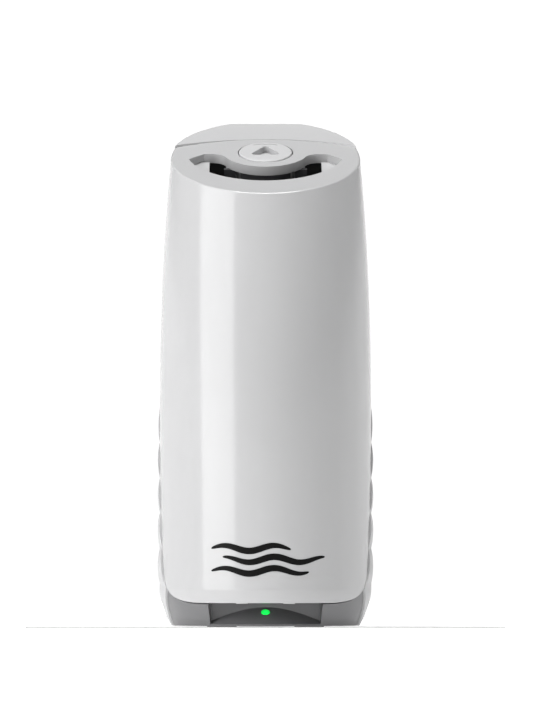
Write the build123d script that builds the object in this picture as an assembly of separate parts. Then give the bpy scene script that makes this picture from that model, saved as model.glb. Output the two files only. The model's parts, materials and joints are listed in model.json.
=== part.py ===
"""Wall or table air freshener driven by an oxygen-generating cell.

A tapered column with a flat back.  The glossy front cover swings forward on a
hinge in the plinth and is released by a round button in its sloping top.
Inside, a carrier holds two AA cells below and a piston cartridge above: the
cell in the cartridge makes oxygen, the oxygen lifts the piston, and the piston
meters fragrance on to a pad under the vent.

Millimetres.  +X right, +Y to the wall, +Z up.  The origin is on the floor,
midway between the back face and the foremost point of the cover.
"""

import os
from math import asin, copysign, cos, degrees, radians, sin, tan

from build123d import *

os.makedirs("parts", exist_ok=True)

# ------------------------------------------------------------ overall sizes
HEIGHT = 178.0  # floor to the top rear edge
WIDTH = 74.0
DEPTH = 79.0

BACK_Y = DEPTH / 2
WIDEST_FROM_BACK = 37.5
REAR_REACH = 40.8  # rear half of the plan, before the flat back cuts it
WIDEST_Y = BACK_Y - WIDEST_FROM_BACK

TAPER_START = 60.0
WIDTH_TAPER = 5.5  # lost from each side between there and the top
TAPER_POWER = 2.6
LEAN_START = 30.0
FRONT_LEAN = 9.1  # how far the front leans back at the rim

FOOT_HEIGHT = 13.0
FOOT_TUCK = 4.4  # how far the foot draws in at the floor
FOOT_POWER = 1.6
FOOT_REAR_SHARE = 0.3
FLOOR_GAP = 0.5  # mouldings stop this far above the floor, and the pads reach it

# ------------------------------------------------------------ sloping top
REAR_SLOPE = 17.9
FRONT_SLOPE = 23.3
PART_FROM_BACK = 21.1  # middle of the curved joint between cover and housing
PART_ARC_R = 70.0
PART_Y = BACK_Y - PART_FROM_BACK
PART_Z = HEIGHT - PART_FROM_BACK * tan(radians(REAR_SLOPE))

# ------------------------------------------------------------ shells
COVER_WALL = 2.2
COVER_TOP = 2.5
REAR_WALL = 2.3
REAR_TOP = 2.4
SHELL_GAP = 0.4
RIM_ROUND = 0.6
LIP_Z = 8.5  # lower edge of the cover at the front
SIDE_PART_FROM_BACK = 29.0  # where the cover's side edge meets the top

# ------------------------------------------------------------ button and latch
BUTTON_FROM_BACK = 33.0
BUTTON_R = 9.35
BUTTON_GAP = 0.35
BUTTON_PROUD = 0.35
BUTTON_THICK = 2.4
BUTTON_SKIRT = 4.4
DIMPLE_DEPTH = 2.2
GUIDE_WALL = 1.5
GUIDE_DEPTH = 7.4  # top of the flange that the spring stands on
GUIDE_FLANGE = 0.9
STEM_R = 2.6
STEM_END = 9.0  # stem tip, below the top face
NIB_R = 1.2
NIB_LENGTH = 1.4
BUTTON_Y = BACK_Y - BUTTON_FROM_BACK
BRACKET_N = 11.2  # latch bracket's upper face, below the top face
BRACKET_THICK = 1.6
SHIELD_WALL = 1.0  # curved wall in front of the button's guide
SHIELD_HALF = 8.8
SHIELD_REACH = 6.0
SPRING_R = 4.6
SPRING_WIRE = 0.55
LATCH_PIN_R = 0.9
ROCKER_LEVER = 5.2  # stem tip to rocker pivot, front to back
ROCKER_DROP = 1.6
ROCKER_HALF = 4.2
ROCKER_NOSE_R = 1.0
ROCKER_GAP = 0.3
RUNNING = 0.06  # radial running clearance on pins

# ------------------------------------------------------------ vent
VENT_R = 27.6  # front edge, about the button
VENT_INNER_R = 15.0
VENT_INNER_W = 1.1  # centre of the inner arc, up the slope from the button
VENT_EAR_W = -1.5
VENT_EAR_TURN = 22.0  # where the ear's arc runs into the inner arc
VENT_SHOULDER = 5.2
VENT_TIP = (-26.8, -6.6)
VENT_SKIRT = 1.4  # wall thickness round the vent
VENT_DEPTH = 3.4
VENT_LEDGE_X = 19.6

# ------------------------------------------------------------ hinge and plinth
HINGE_Y = -BACK_Y + 6.5
HINGE_Z = 11.0
HINGE_PIN_R = 1.25
KNUCKLE_R = 2.8
KNUCKLE_HALF = 5.8
LUG_GAP = 0.3
LUG_WIDTH = 4.0
LUG_RISE = 5.2
PIN_HALF = KNUCKLE_HALF + LUG_GAP + LUG_WIDTH
PLINTH_INSET = 0.6
TIER_INSET = 4.2
PLINTH_WALL = 2.0
NEST_GAP = 0.3
DECK_Z = 20.0
DECK_THICK = 2.0
SCOOP_SLOPE = 33.0
SCOOP_LIP_Y = -BACK_Y + 4.5
SCOOP_LIP_Z = 1.2
SCOOP_BACK_Y = -BACK_Y + 13.5
SCOOP_HALF = 18.8
SCOOP_ROOF = 17.0
LED_R = 1.5
LED_Y = -BACK_Y + 10.8

# ------------------------------------------------------------ side gills
GILL_PITCH = 12.3
GILL_COUNT = 5
GILL_START = 15.2
GILL_BULGE = 0.65
GILL_SLOT = 1.5
GILL_SLOT_LENGTH = 17.0

# ------------------------------------------------------------ carrier
CARRIER_GAP = 0.2
PANEL_HALF = 25.5
PANEL_Y = -BACK_Y + 18.0  # front face of the lower panel
SKIN = 2.0
BACK_PANEL_Y = PART_Y
CARRIER_TOP = HEIGHT - 14.0
LATCH_NOTCH_HALF = 7.6
LATCH_NOTCH_DEPTH = 9.0
BOX_WALL = 1.6
BAY_Z = DECK_Z + CARRIER_GAP + BOX_WALL

# ------------------------------------------------------------ AA cells
CELL_R = 7.25
CELL_LENGTH = 49.2
CELL_NUB_R = 2.75
CELL_NUB = 1.3
CELL_PITCH = 2 * CELL_R + 0.9
CELL_SIDE_GAP = 1.3
CELL_Y = PANEL_Y + SKIN + CELL_R + 1.05
BOX_BACK_Y = CELL_Y + CELL_R + CELL_SIDE_GAP + BOX_WALL
BOX_HALF = CELL_PITCH / 2 + CELL_R + CELL_SIDE_GAP + BOX_WALL
CELL_SPRING = 5.0  # compressed length of the spring at each flat end
SPRING_COIL_R = 3.4
CONTACT = 0.4
CONTACT_HALF = CELL_R - 1.75
CONTACT_GAP = 0.02
TAIL_HALF = 1.2
SHELF_Z = BAY_Z + 2 * CONTACT + CELL_LENGTH + CELL_NUB + CELL_SPRING

# ------------------------------------------------------------ cartridge
CART_Y = BACK_PANEL_Y - 22.9
CART_R = 20.0
CART_WALL = 1.4
CART_CAP_R = CART_R + 1.8
CART_BASE_Z = SHELF_Z + SKIN + CARRIER_GAP
CART_BASE_H = 7.0
CART_CAP_TOP = HEIGHT - 31.0
CART_CAP_H = 15.0
PISTON_H = 6.0
PISTON_GAP = 0.25
OXYGEN_CELL_R = 8.0
CELL_TAIL_Y = CART_Y + 6.6
PAD_R = CART_R - 3.0
PAD_H = 5.0
CRADLE_GAP = 0.8
CRADLE_WALL = 1.8
CRADLE_H = 28.0

# ------------------------------------------------------------ electronics
BOARD_HALF = 16.0
BOARD_FRONT_Y = SCOOP_BACK_Y + 4.0
BOARD_BACK_Y = BOARD_FRONT_Y + 34.0
BOARD_Z = 11.0
BOARD_THICK = 1.6
SWITCH_X = (BOX_HALF + PANEL_HALF - BOX_WALL) / 2
SWITCH_Z = 60.0
SWITCH_TRAVEL = 2.5
TEST_Z = 42.0
TEST_TRAVEL = 0.8
THIN_LEAD_R = 0.55
SWITCH_LEAD_R = 0.7
SWITCH_BOARD_Y = PANEL_Y + 5.9
SWITCH_BOARD_THICK = 1.0

# ------------------------------------------------------------ fasteners, feet
SCREW_R = 1.45
THREAD_R = SCREW_R - 0.15  # thread and its pilot hole
SCREW_CLEAR = 0.2  # radial clearance round a shank
SCREW_HEAD_R = 2.7
SCREW_HEAD_H = 1.4
SMALL_SCREW = (0.75, 1.7, 1.1)  # thread radius, head radius, head height
BOSS_R = 3.2
KEYHOLE_R = 4.0
KEYHOLE_SLOT_R = 2.2
KEYHOLE_RISE = 8.0
KEYHOLE_LOW = 45.0
KEYHOLE_PITCH = 90.0
PAD_FOOT_R = 4.5
PAD_FOOT_H = 1.6
PLATE_THICK = 2.4

BIG = 400.0


# ================================================================ the form
def half_width(z):
    """Half the width of the outer form at height z, without the foot."""
    rise = max(0.0, z - TAPER_START) / (HEIGHT - TAPER_START)
    return WIDTH / 2 - WIDTH_TAPER * rise**TAPER_POWER


def front_reach(z):
    """Distance from the widest line forward to the skin at height z."""
    rise = max(0.0, z - LEAN_START) / (HEIGHT - 27.8 - LEAN_START)
    return DEPTH - WIDEST_FROM_BACK - FRONT_LEAN * rise**2


def foot_tuck(z):
    """How far the foot is drawn in at height z."""
    return FOOT_TUCK * (max(0.0, FOOT_HEIGHT - z) / FOOT_HEIGHT) ** FOOT_POWER


def egg(z, inset=0.0, bulge=0.0):
    """Plan section at height z: an egg with a flat back, drawn in by inset."""
    tuck = foot_tuck(z)
    across = half_width(z) - tuck - inset + bulge
    ahead = front_reach(z) - tuck - inset + bulge
    behind = REAR_REACH - FOOT_REAR_SHARE * tuck - inset + bulge
    flat = WIDEST_FROM_BACK - inset
    turn = degrees(asin(flat / behind))
    centre = Plane((0, WIDEST_Y, z))
    x_flat = across * cos(radians(turn))
    front = Edge.make_ellipse(across, ahead, centre, 180, 360)
    right = Edge.make_ellipse(across, behind, centre, 0, turn)
    left = Edge.make_ellipse(across, behind, centre, 180 - turn, 180)
    back = Edge.make_line((x_flat, WIDEST_Y + flat, z), (-x_flat, WIDEST_Y + flat, z))
    return Face(Wire([front, right, back, left]))


def form(inset=0.0, low=0.0, high=None):
    """The outer form, drawn in by inset, from low to high, as one solid."""
    top = HEIGHT + 6 if high is None else high
    foot = [FOOT_HEIGHT * share for share in (0, 0.18, 0.38, 0.6, 0.8)]
    column = [FOOT_HEIGHT + (HEIGHT + 6 - FOOT_HEIGHT) * step / 8 for step in range(9)]
    lower = loft([egg(z, inset) for z in foot + [FOOT_HEIGHT]])
    upper = loft([egg(z, inset) for z in column])
    return (lower + upper) & slab(low, top)


def slab(low, high):
    """Everything between two heights."""
    return Pos(0, 0, (low + high) / 2) * Box(BIG, BIG, high - low)


def block(x0, x1, y0, y1, z0, z1):
    """A box from its six faces."""
    return Pos((x0 + x1) / 2, (y0 + y1) / 2, (z0 + z1) / 2) * Box(x1 - x0, y1 - y0, z1 - z0)


def rod(radius, z0, z1, x=0.0, y=0.0):
    """A vertical cylinder."""
    return Pos(x, y, (z0 + z1) / 2) * Cylinder(radius, z1 - z0)


def rod_x(radius, x0, x1, y, z):
    """A cylinder along X."""
    return Pos((x0 + x1) / 2, y, z) * Rot(0, 90, 0) * Cylinder(radius, x1 - x0)


def rod_y(radius, y0, y1, x, z):
    """A cylinder along Y."""
    return Pos(x, (y0 + y1) / 2, z) * Rot(90, 0, 0) * Cylinder(radius, y1 - y0)


def below(plane):
    """Everything under a plane."""
    return plane * Pos(0, 0, -BIG / 2) * Box(BIG, BIG, BIG)


def front_top_z(y):
    """Height of the front part of the top at y."""
    return PART_Z + (y - PART_Y) * tan(radians(FRONT_SLOPE))


def sloped(y, z, angle):
    """A plane with +X kept and its normal tipped towards the front."""
    return Plane((0, y, z), x_dir=(1, 0, 0), z_dir=(0, -sin(radians(angle)), cos(radians(angle))))


TOP = sloped(BUTTON_Y, front_top_z(BUTTON_Y), FRONT_SLOPE)
REAR_TOP_PLANE = sloped(PART_Y, PART_Z, REAR_SLOPE)


def on_top(u, w, n):
    """A place given across, up the slope and out of the sloping top."""
    return TOP * Pos(u, w, n)


# ================================================================ parting
def cover_profile(gap):
    """Side view of what belongs to the cover, grown by gap, as a face in YZ."""
    lip = LIP_Z - gap
    start = (-BACK_Y + 8.0 + gap, lip)
    turn = (-BACK_Y + 30.3 + gap, 23.0 - gap)
    waist = (-BACK_Y + 36.5 + gap, 52.0)
    high = (BACK_Y - SIDE_PART_FROM_BACK + gap, HEIGHT - 10.2)
    top = HEIGHT + 30
    edges = [
        Edge.make_line((-BIG / 4, lip), start),
        Edge.make_spline([start, turn], [(1, 0), (0.16, 1)]),
        Edge.make_spline([turn, waist, high], [(0.16, 1), (0.04, 1)]),
        Edge.make_line(high, (high[0], top)),
        Edge.make_line((high[0], top), (-BIG / 4, top)),
        Edge.make_line((-BIG / 4, top), (-BIG / 4, lip)),
    ]
    return Plane.YZ * Face(Wire(edges))


def cover_space(gap=0.0):
    """The space the cover keeps to itself, grown by gap."""
    sides = extrude(cover_profile(gap), BIG / 4, both=True)
    arc = rod(PART_ARC_R + gap, HEIGHT - 60, HEIGHT + 30, 0, PART_Y - PART_ARC_R)
    plate = arc - below(TOP.offset(-COVER_TOP - gap))
    return sides + plate


def plinth_space(gap=0.0):
    """The low front space that belongs to the plinth, grown by gap."""
    corner = -BACK_Y + 26.0 + gap
    foot = -BACK_Y + 35.5 + gap
    high = 13.5 + gap
    face = Polyline((-BIG / 4, -1), (foot, -1), (corner, high), (-BIG / 4, high), close=True)
    return extrude(Plane.YZ * make_face(face), BIG / 4, both=True)


# ================================================================ housing
OUTER = form()


def rounded_top(solid, plane, radius):
    """Round the rim where a flat sloping top meets the skin."""
    top = min(solid.faces(), key=lambda f: abs(plane.to_local_coords(f.center()).Z))
    return fillet(top.edges(), radius)


def gill_bands():
    """Bulging bands round the rear of the column, one above the other."""
    bands = []
    for number in range(GILL_COUNT):
        low = GILL_START + number * GILL_PITCH
        share = (0.02, 0.25, 0.5, 0.75, 0.98)
        swell = (0.0, 0.75, 1.0, 0.75, 0.0)
        fade = 1.0 if number < GILL_COUNT - 1 else 0.6
        bands.append(
            loft([egg(low + GILL_PITCH * s, 0.0, GILL_BULGE * fade * b) for s, b in zip(share, swell)])
        )
    return bands


def make_rear_housing():
    shell = rounded_top(OUTER & below(REAR_TOP_PLANE), REAR_TOP_PLANE, RIM_ROUND)
    inner = form(REAR_WALL, -1) & below(REAR_TOP_PLANE.offset(-REAR_TOP))
    for band in gill_bands():
        shell += band & block(-BIG, BIG, WIDEST_Y - 12, BACK_Y - 4, 0, HEIGHT)
    body = shell - inner
    for x, z in CARRIER_BOSSES:
        boss = rod_y(BOSS_R, BACK_PANEL_Y + SKIN, BACK_Y, x, z)
        body += boss & form(REAR_WALL / 2, 5)
    for x in (-PLINTH_SCREW_X, PLINTH_SCREW_X):
        boss = rod(BOSS_R, DECK_Z + CARRIER_GAP, DECK_Z + 12, x, PLINTH_SCREW_Y)
        web = block(min(x, x * 1.5), max(x, x * 1.5), PLINTH_SCREW_Y - 0.8, PLINTH_SCREW_Y + 0.8,
                    DECK_Z + CARRIER_GAP, DECK_Z + 12)
        body += (boss + web) & form(REAR_WALL / 2, 5)
        body -= rod(THREAD_R, DECK_Z - 1, DECK_Z + 10, x, PLINTH_SCREW_Y)
    for x, z in CARRIER_BOSSES:
        body -= rod_y(THREAD_R, BACK_PANEL_Y, BACK_PANEL_Y + SKIN + 9, x, z)
    for z in (KEYHOLE_LOW, KEYHOLE_LOW + KEYHOLE_PITCH):
        body -= rod_y(KEYHOLE_R, BACK_Y - 8, BACK_Y + 1, 0, z)
        body -= rod_y(KEYHOLE_SLOT_R, BACK_Y - 8, BACK_Y + 1, 0, z + KEYHOLE_RISE)
        body -= block(-KEYHOLE_SLOT_R, KEYHOLE_SLOT_R, BACK_Y - 8, BACK_Y + 1, z, z + KEYHOLE_RISE)
    for number in range(1, GILL_COUNT):
        z = GILL_START + number * GILL_PITCH
        y0 = WIDEST_Y + 2.5 + 0.6 * number
        slot = block(-BIG, BIG, y0, y0 + GILL_SLOT_LENGTH, z - GILL_SLOT / 2, z + GILL_SLOT / 2)
        slot = slot - block(-PANEL_HALF, PANEL_HALF, -BIG, BIG, 0, HEIGHT)
        body -= slot
    body -= cover_space(SHELL_GAP)
    body -= plinth_space(SHELL_GAP)
    return body & slab(FLOOR_GAP, HEIGHT + 1)


# ================================================================ cover
def sunk(face, high, low):
    """A face drawn on the sloping top, made solid between two depths."""
    return extrude(TOP.offset(high) * face, high - low, dir=-TOP.z_dir)


def vent_face():
    """The smile-shaped vent, drawn with lines and arcs in the top's plane."""
    turn = radians(VENT_EAR_TURN)
    meet = (-VENT_INNER_R * cos(turn), VENT_INNER_W - VENT_INNER_R * sin(turn))
    ear_r = (VENT_EAR_W - meet[1]) / (1 - sin(turn))
    ear = (meet[0] - ear_r * cos(turn), VENT_EAR_W)
    shoulder = (VENT_TIP[0] + VENT_SHOULDER, VENT_EAR_W)
    left = [
        Edge.make_line(VENT_TIP, shoulder),
        Edge.make_line(shoulder, ear),
        Edge.make_tangent_arc(ear, (1, 0), meet),
    ]
    right = [edge.mirror(Plane.YZ) for edge in left]
    inner = Edge.make_three_point_arc(meet, (0, VENT_INNER_W - VENT_INNER_R), (-meet[0], meet[1]))
    outer = Edge.make_three_point_arc(VENT_TIP, (0, -VENT_R), (-VENT_TIP[0], VENT_TIP[1]))
    return Face(Wire(left + [inner] + right + [outer]))


def make_front_cover():
    shell = rounded_top(OUTER & below(TOP), TOP, RIM_ROUND)
    inner = form(COVER_WALL, -1) & below(TOP.offset(-COVER_TOP))
    cover = (shell - inner) & cover_space()
    guide_end = GUIDE_DEPTH + GUIDE_FLANGE
    cover += on_top(0, 0, -(guide_end + 1) / 2) * Cylinder(BUTTON_R + BUTTON_GAP + GUIDE_WALL, guide_end - 1)
    for u, w in BRACKET_POSTS:
        length = BRACKET_N - COVER_TOP
        cover += on_top(u, w, -COVER_TOP - length / 2 + 0.25) * Cylinder(2.2, length + 0.5)
        cover -= on_top(u, w, -BRACKET_N + 3) * Cylinder(SMALL_SCREW[0], 6.4)
    cover += sunk(offset(vent_face(), VENT_SKIRT), -1, -VENT_DEPTH)
    cover -= sunk(vent_face(), 2, -VENT_DEPTH - 1)
    cover += vent_ledges()
    cover -= on_top(0, 0, -GUIDE_DEPTH / 2 + 5) * Cylinder(BUTTON_R + BUTTON_GAP, GUIDE_DEPTH + 10)
    cover -= on_top(0, 0, -GUIDE_DEPTH) * Cylinder(STEM_R + BUTTON_GAP, 20)
    for side in (-1, 1):
        x0 = KNUCKLE_HALF + LUG_GAP
        cover += make_lug(side, x0, x0 + LUG_WIDTH)
    cover -= rod_x(HINGE_PIN_R + RUNNING, -PIN_HALF, PIN_HALF, HINGE_Y, HINGE_Z)
    return cover


def vent_ledges():
    """Small shelves that close the bottom of the vent's two corners."""
    shelf = sunk(offset(vent_face(), VENT_SKIRT / 2), 0.6 - VENT_DEPTH, -0.6 - VENT_DEPTH)
    sides = on_top(0, 0, 0) * (Box(90, 90, 20) - Box(2 * VENT_LEDGE_X, 90, 20))
    return shelf & sides


def make_lug(side, x0, x1):
    """One hinge lug inside the cover's lower edge."""
    y_wall = -BACK_Y + 1.2
    outline = Polyline(
        (HINGE_Y, HINGE_Z - KNUCKLE_R), (y_wall + 2.4, HINGE_Z - KNUCKLE_R),
        (y_wall + 0.6, HINGE_Z - 1.6), (y_wall + 0.6, HINGE_Z + LUG_RISE),
        (y_wall + 2.0, HINGE_Z + LUG_RISE), (HINGE_Y + KNUCKLE_R * 0.8, HINGE_Z + 1.8), close=True,
    )
    web = extrude(Plane.YZ * make_face(outline), x1 - x0)
    lug = Pos(x0, 0, 0) * web + rod_x(KNUCKLE_R, x0, x1, HINGE_Y, HINGE_Z)
    return (lug if side > 0 else mirror(lug, Plane.YZ)) & form(COVER_WALL / 2)


# ================================================================ plinth
def scoop_floor_z(y):
    """Height of the sloping face of the scoop at y."""
    return SCOOP_LIP_Z + (y - SCOOP_LIP_Y) * tan(radians(SCOOP_SLOPE))


def scoop_ramp(grow):
    """What is left under the scoop: its sloping face follows the foot's plan."""
    run = 1 / tan(radians(SCOOP_SLOPE))
    lip_inset = SCOOP_LIP_Y - WIDEST_Y + front_reach(0) - foot_tuck(0)
    sections = []
    for z in (-1.0, 3.0, 8.0):
        inset = lip_inset + (z - SCOOP_LIP_Z) * run + grow / sin(radians(SCOOP_SLOPE))
        sections.append(egg(z, inset + foot_tuck(0) - foot_tuck(z)))
    return loft(sections, ruled=True)


def scoop_cut(grow=0.0):
    """The finger scoop and hinge pocket under the cover's lip."""
    y_front = -BACK_Y - 12
    sections = []
    for y, flare_low, flare_high in ((y_front, 3.0, 7.5), (SCOOP_BACK_Y + grow, 0.0, 0.0)):
        low = -1.0
        high = SCOOP_ROOF + grow
        half_low = SCOOP_HALF + flare_low + grow
        half_high = SCOOP_HALF + flare_high + grow
        outline = Polyline(
            (-half_low, y, low), (half_low, y, low), (half_high, y, high), (-half_high, y, high), close=True
        )
        sections.append(make_face(outline))
    return loft(sections, ruled=True) - scoop_ramp(grow)


def make_plinth():
    lower = (form(PLINTH_INSET, FLOOR_GAP, 22) & plinth_space()) - cover_space(SHELL_GAP)
    tier = form(TIER_INSET, FLOOR_GAP, DECK_Z)
    nest = form(REAR_WALL + NEST_GAP, FLOOR_GAP, DECK_Z) & block(-BIG, BIG, -BACK_Y + 35.0, BIG, 0, DECK_Z)
    cavity = form(TIER_INSET + PLINTH_WALL, -1, DECK_Z - DECK_THICK)
    body = lower + tier + nest - (cavity - scoop_cut(PLINTH_WALL))
    for x, y in PLATE_POSTS:
        body += rod(BOSS_R, FLOOR_GAP + PLATE_THICK, DECK_Z - 0.5, x, y)
        body -= rod(THREAD_R, FLOOR_GAP, DECK_Z - DECK_THICK, x, y)
    for x, y in BOARD_POSTS:
        body += rod(2.4, BOARD_Z + BOARD_THICK, DECK_Z - 0.5, x, y)
        body -= rod(SMALL_SCREW[0], BOARD_Z, DECK_Z - DECK_THICK, x, y)
    for x in (-PLINTH_SCREW_X, PLINTH_SCREW_X):
        body -= rod(SCREW_R + 0.25, 0, DECK_Z + 1, x, PLINTH_SCREW_Y)
    for x in (-DECK_SCREW_X, DECK_SCREW_X):
        body += rod(2.6, DECK_Z - 7, DECK_Z - 0.5, x, DECK_SCREW_Y)
        body -= rod(SMALL_SCREW[0], DECK_Z - 6, DECK_Z + 1, x, DECK_SCREW_Y)
    body -= scoop_cut()
    arm = block(-KNUCKLE_HALF, KNUCKLE_HALF, HINGE_Y, SCOOP_BACK_Y + 1,
                HINGE_Z - KNUCKLE_R, HINGE_Z + KNUCKLE_R)
    body += arm + rod_x(KNUCKLE_R, -KNUCKLE_HALF, KNUCKLE_HALF, HINGE_Y, HINGE_Z)
    body -= rod_x(HINGE_PIN_R, -KNUCKLE_HALF - 1, KNUCKLE_HALF + 1, HINGE_Y, HINGE_Z)
    body -= light_pipe_bore()
    for x0, x1, y0, y1 in (DECK_WINDOW, DECK_SLOT):
        body -= block(x0, x1, y0, y1, DECK_Z - DECK_THICK - 1, DECK_Z + 1)
    return body


def make_bottom_plate():
    plate = form(TIER_INSET + PLINTH_WALL + NEST_GAP, FLOOR_GAP, FLOOR_GAP + PLATE_THICK)
    plate -= scoop_cut(PLINTH_WALL + NEST_GAP)
    for x, y in PLATE_POSTS:
        plate -= rod(SCREW_R + 0.3, 0, 4, x, y)
        plate -= rod(SCREW_HEAD_R + 0.3, 0, FLOOR_GAP + SCREW_HEAD_H, x, y)
    for x, y in FOOT_PADS:
        plate -= rod(PAD_FOOT_R + 0.1, 0, PAD_FOOT_H, x, y)
    for number in range(6):
        y = WIDEST_Y - 4 + 4 * number
        plate -= block(-9, 9, y, y + 1.4, 0, 4)
    return plate


def make_rubber_feet():
    return Compound([rod(PAD_FOOT_R, 0, PAD_FOOT_H, x, y) for x, y in FOOT_PADS])


# ================================================================ light pipe
def light_pipe_line():
    """Centre height of the light pipe behind its lens."""
    return scoop_floor_z(LED_Y) - 0.55


def lens_rod(radius, rise, depth):
    """A rod square to the scoop's face at the lens, from a rise to a depth."""
    face = sloped(LED_Y, scoop_floor_z(LED_Y), SCOOP_SLOPE)
    return face * Pos(0, 0, (rise - depth) / 2) * Cylinder(radius, rise + depth)


def light_pipe_bore():
    pipe = rod_y(LED_R + 0.1, LED_Y + 1.65, LED_Y + 10, 0, light_pipe_line())
    return pipe + lens_rod(LED_R + 0.1, 1.0, PLINTH_WALL)


def make_light_pipe():
    z = light_pipe_line()
    pipe = rod_y(LED_R, LED_Y + 1.7, LED_PIPE_END, 0, z)
    collar = rod_y(LED_R + 0.3, SCOOP_BACK_Y + PLINTH_WALL + 0.1, SCOOP_BACK_Y + PLINTH_WALL + 1.2, 0, z)
    return pipe + lens_rod(LED_R, 0.15, PLINTH_WALL - 0.4) + collar


def make_status_led():
    z = light_pipe_line()
    y0 = LED_PIPE_END + 0.4
    body = rod_y(1.5, y0 + 0.9, y0 + 4.4, 0, z)
    body += Pos(0, y0 + 1.5, z) * Sphere(1.5) & block(-2, 2, y0, y0 + 2, z - 2, z + 2)
    body += rod_y(1.8, y0 + 3.4, y0 + 4.4, 0, z)
    for x in (-1.27, 1.27):
        body += block(x - 0.25, x + 0.25, y0 + 4.2, y0 + 6.2, z - 0.25, z + 0.25)
        body += block(x - 0.25, x + 0.25, y0 + 5.7, y0 + 6.2, z, BOARD_Z)
    return body


# ================================================================ carrier
def make_carrier():
    floor = DECK_Z + CARRIER_GAP
    back = block(-PANEL_HALF, PANEL_HALF, BACK_PANEL_Y, BACK_PANEL_Y + SKIN, floor, CARRIER_TOP)
    back -= block(-LATCH_NOTCH_HALF, LATCH_NOTCH_HALF, 0, BIG, CARRIER_TOP - LATCH_NOTCH_DEPTH, HEIGHT)
    body = back + block(-PANEL_HALF, PANEL_HALF, PANEL_Y, PANEL_Y + SKIN, floor, SHELF_Z + SKIN)
    body += block(-PANEL_HALF, PANEL_HALF, PANEL_Y, BACK_PANEL_Y + 1, SHELF_Z, SHELF_Z + SKIN)
    for x in (-PANEL_HALF, PANEL_HALF - BOX_WALL):
        body += block(x, x + BOX_WALL, PANEL_Y, BACK_PANEL_Y + 1, floor, SHELF_Z + SKIN)
    body += block(-BOX_HALF, BOX_HALF, PANEL_Y, BOX_BACK_Y, floor, SHELF_Z + 1)
    body -= block(-BOX_HALF + BOX_WALL, BOX_HALF - BOX_WALL, PANEL_Y - 1, BOX_BACK_Y - BOX_WALL,
                  BAY_Z, SHELF_Z)
    for x in (-CELL_PITCH / 2, CELL_PITCH / 2):
        body -= block(x - TAIL_HALF - 0.1, x + TAIL_HALF + 0.1, BOX_BACK_Y - BOX_WALL - 1, BOX_BACK_Y + 1,
                      BAY_Z - 0.1, BAY_Z + CONTACT + 0.1)
    rib = block(-0.5, 0.5, CELL_Y + 2, BOX_BACK_Y, floor + 1, SHELF_Z - 2 * CONTACT)
    body += rib - rod(CELL_R + 0.3, 0, SHELF_Z, -CELL_PITCH / 2, CELL_Y) - rod(
        CELL_R + 0.3, 0, SHELF_Z, CELL_PITCH / 2, CELL_Y
    )
    cradle_r = CART_CAP_R + CRADLE_GAP
    ring = rod(cradle_r + CRADLE_WALL, SHELF_Z + 1, CART_BASE_Z + CRADLE_H, 0, CART_Y)
    ring -= rod(cradle_r, SHELF_Z, HEIGHT, 0, CART_Y)
    ring -= block(-BIG, BIG, -BIG, CART_Y + 2, 0, HEIGHT)
    ring = ring & block(-PANEL_HALF, PANEL_HALF, -BIG, BACK_PANEL_Y + 1, 0, HEIGHT)
    body += ring
    body += keeper()
    body -= block(-4, 4, CART_Y - 5, CELL_TAIL_Y + 0.5, SHELF_Z - 1, SHELF_Z + SKIN + 1)
    for x, z in CARRIER_BOSSES:
        body -= rod_y(SCREW_R + SCREW_CLEAR, 0, BACK_PANEL_Y + SKIN + 1, x, z)
    for x in (-DECK_SCREW_X, DECK_SCREW_X):
        ear = block(x - 4, x + 4, BACK_PANEL_Y + 1, DECK_SCREW_Y + 4, floor, floor + SKIN)
        body += ear - rod(SCREW_R + SCREW_CLEAR, 0, DECK_Z + 5, x, DECK_SCREW_Y)
    body -= block(SWITCH_X - 1.5, SWITCH_X + 1.5, PANEL_Y - 1, PANEL_Y + SKIN + 1,
                  SWITCH_Z - SWITCH_TRAVEL - 1.7, SWITCH_Z + SWITCH_TRAVEL + 1.7)
    body -= rod_y(2.0, PANEL_Y - 1, PANEL_Y + SKIN + 1, SWITCH_X, TEST_Z)
    for z in SWITCH_POSTS:
        body += rod_y(1.7, PANEL_Y + 1, SWITCH_BOARD_Y, SWITCH_X, z)
        body -= rod_y(SMALL_SCREW[0], PANEL_Y + 1.5, SWITCH_BOARD_Y + 1, SWITCH_X, z)
    for side in (-1, 1):
        x0, x1 = sorted((side * CLIP_X0, side * CLIP_X1))
        body -= block(x0 - 0.1, x1 + 0.1, BACK_PANEL_Y - 1, BACK_PANEL_Y + SKIN + 1,
                      CLIP_Z - 12.1, CLIP_Z - 5.9)
    return body


def keeper():
    """Ramped rib on top of the carrier that the latch hook drops behind."""
    y0, top, base = KEEPER_Y, KEEPER_Z, CARRIER_TOP - LATCH_NOTCH_DEPTH
    rib = Polyline(
        (y0 - 1.6, base - 1), (y0 - 0.7, top), (y0, top),
        (y0 + 1.6, top - 1.6), (y0 + 1.6, base - 1), close=True,
    )
    body = Pos(-6, 0, 0) * extrude(Plane.YZ * make_face(rib), 12)
    return body + block(-9, 9, BACK_PANEL_Y, y0 + 1.6, base - 3, base)


def make_retaining_clips():
    """Two springy tongues that hold the cartridge's cap."""
    clips = []
    for side in (-1, 1):
        x0, x1 = sorted((side * CLIP_X0, side * CLIP_X1))
        tongue = block(x0, x1, CART_Y - 6, BACK_PANEL_Y - 0.1, CLIP_Z, CLIP_Z + 1.2)
        hook = block(x0, x1, CART_Y - 6, CART_Y - 4.5, CLIP_Z, CLIP_Z + 2.6)
        leg = block(x0, x1, BACK_PANEL_Y - 1.4, BACK_PANEL_Y - 0.1, CLIP_Z - 12, CLIP_Z + 1.2)
        tail = block(x0, x1, BACK_PANEL_Y - 1, BACK_PANEL_Y + SKIN + 1.2, CLIP_Z - 12, CLIP_Z - 6)
        clips.append(tongue + hook + leg + tail)
    return Compound(clips)


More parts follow.
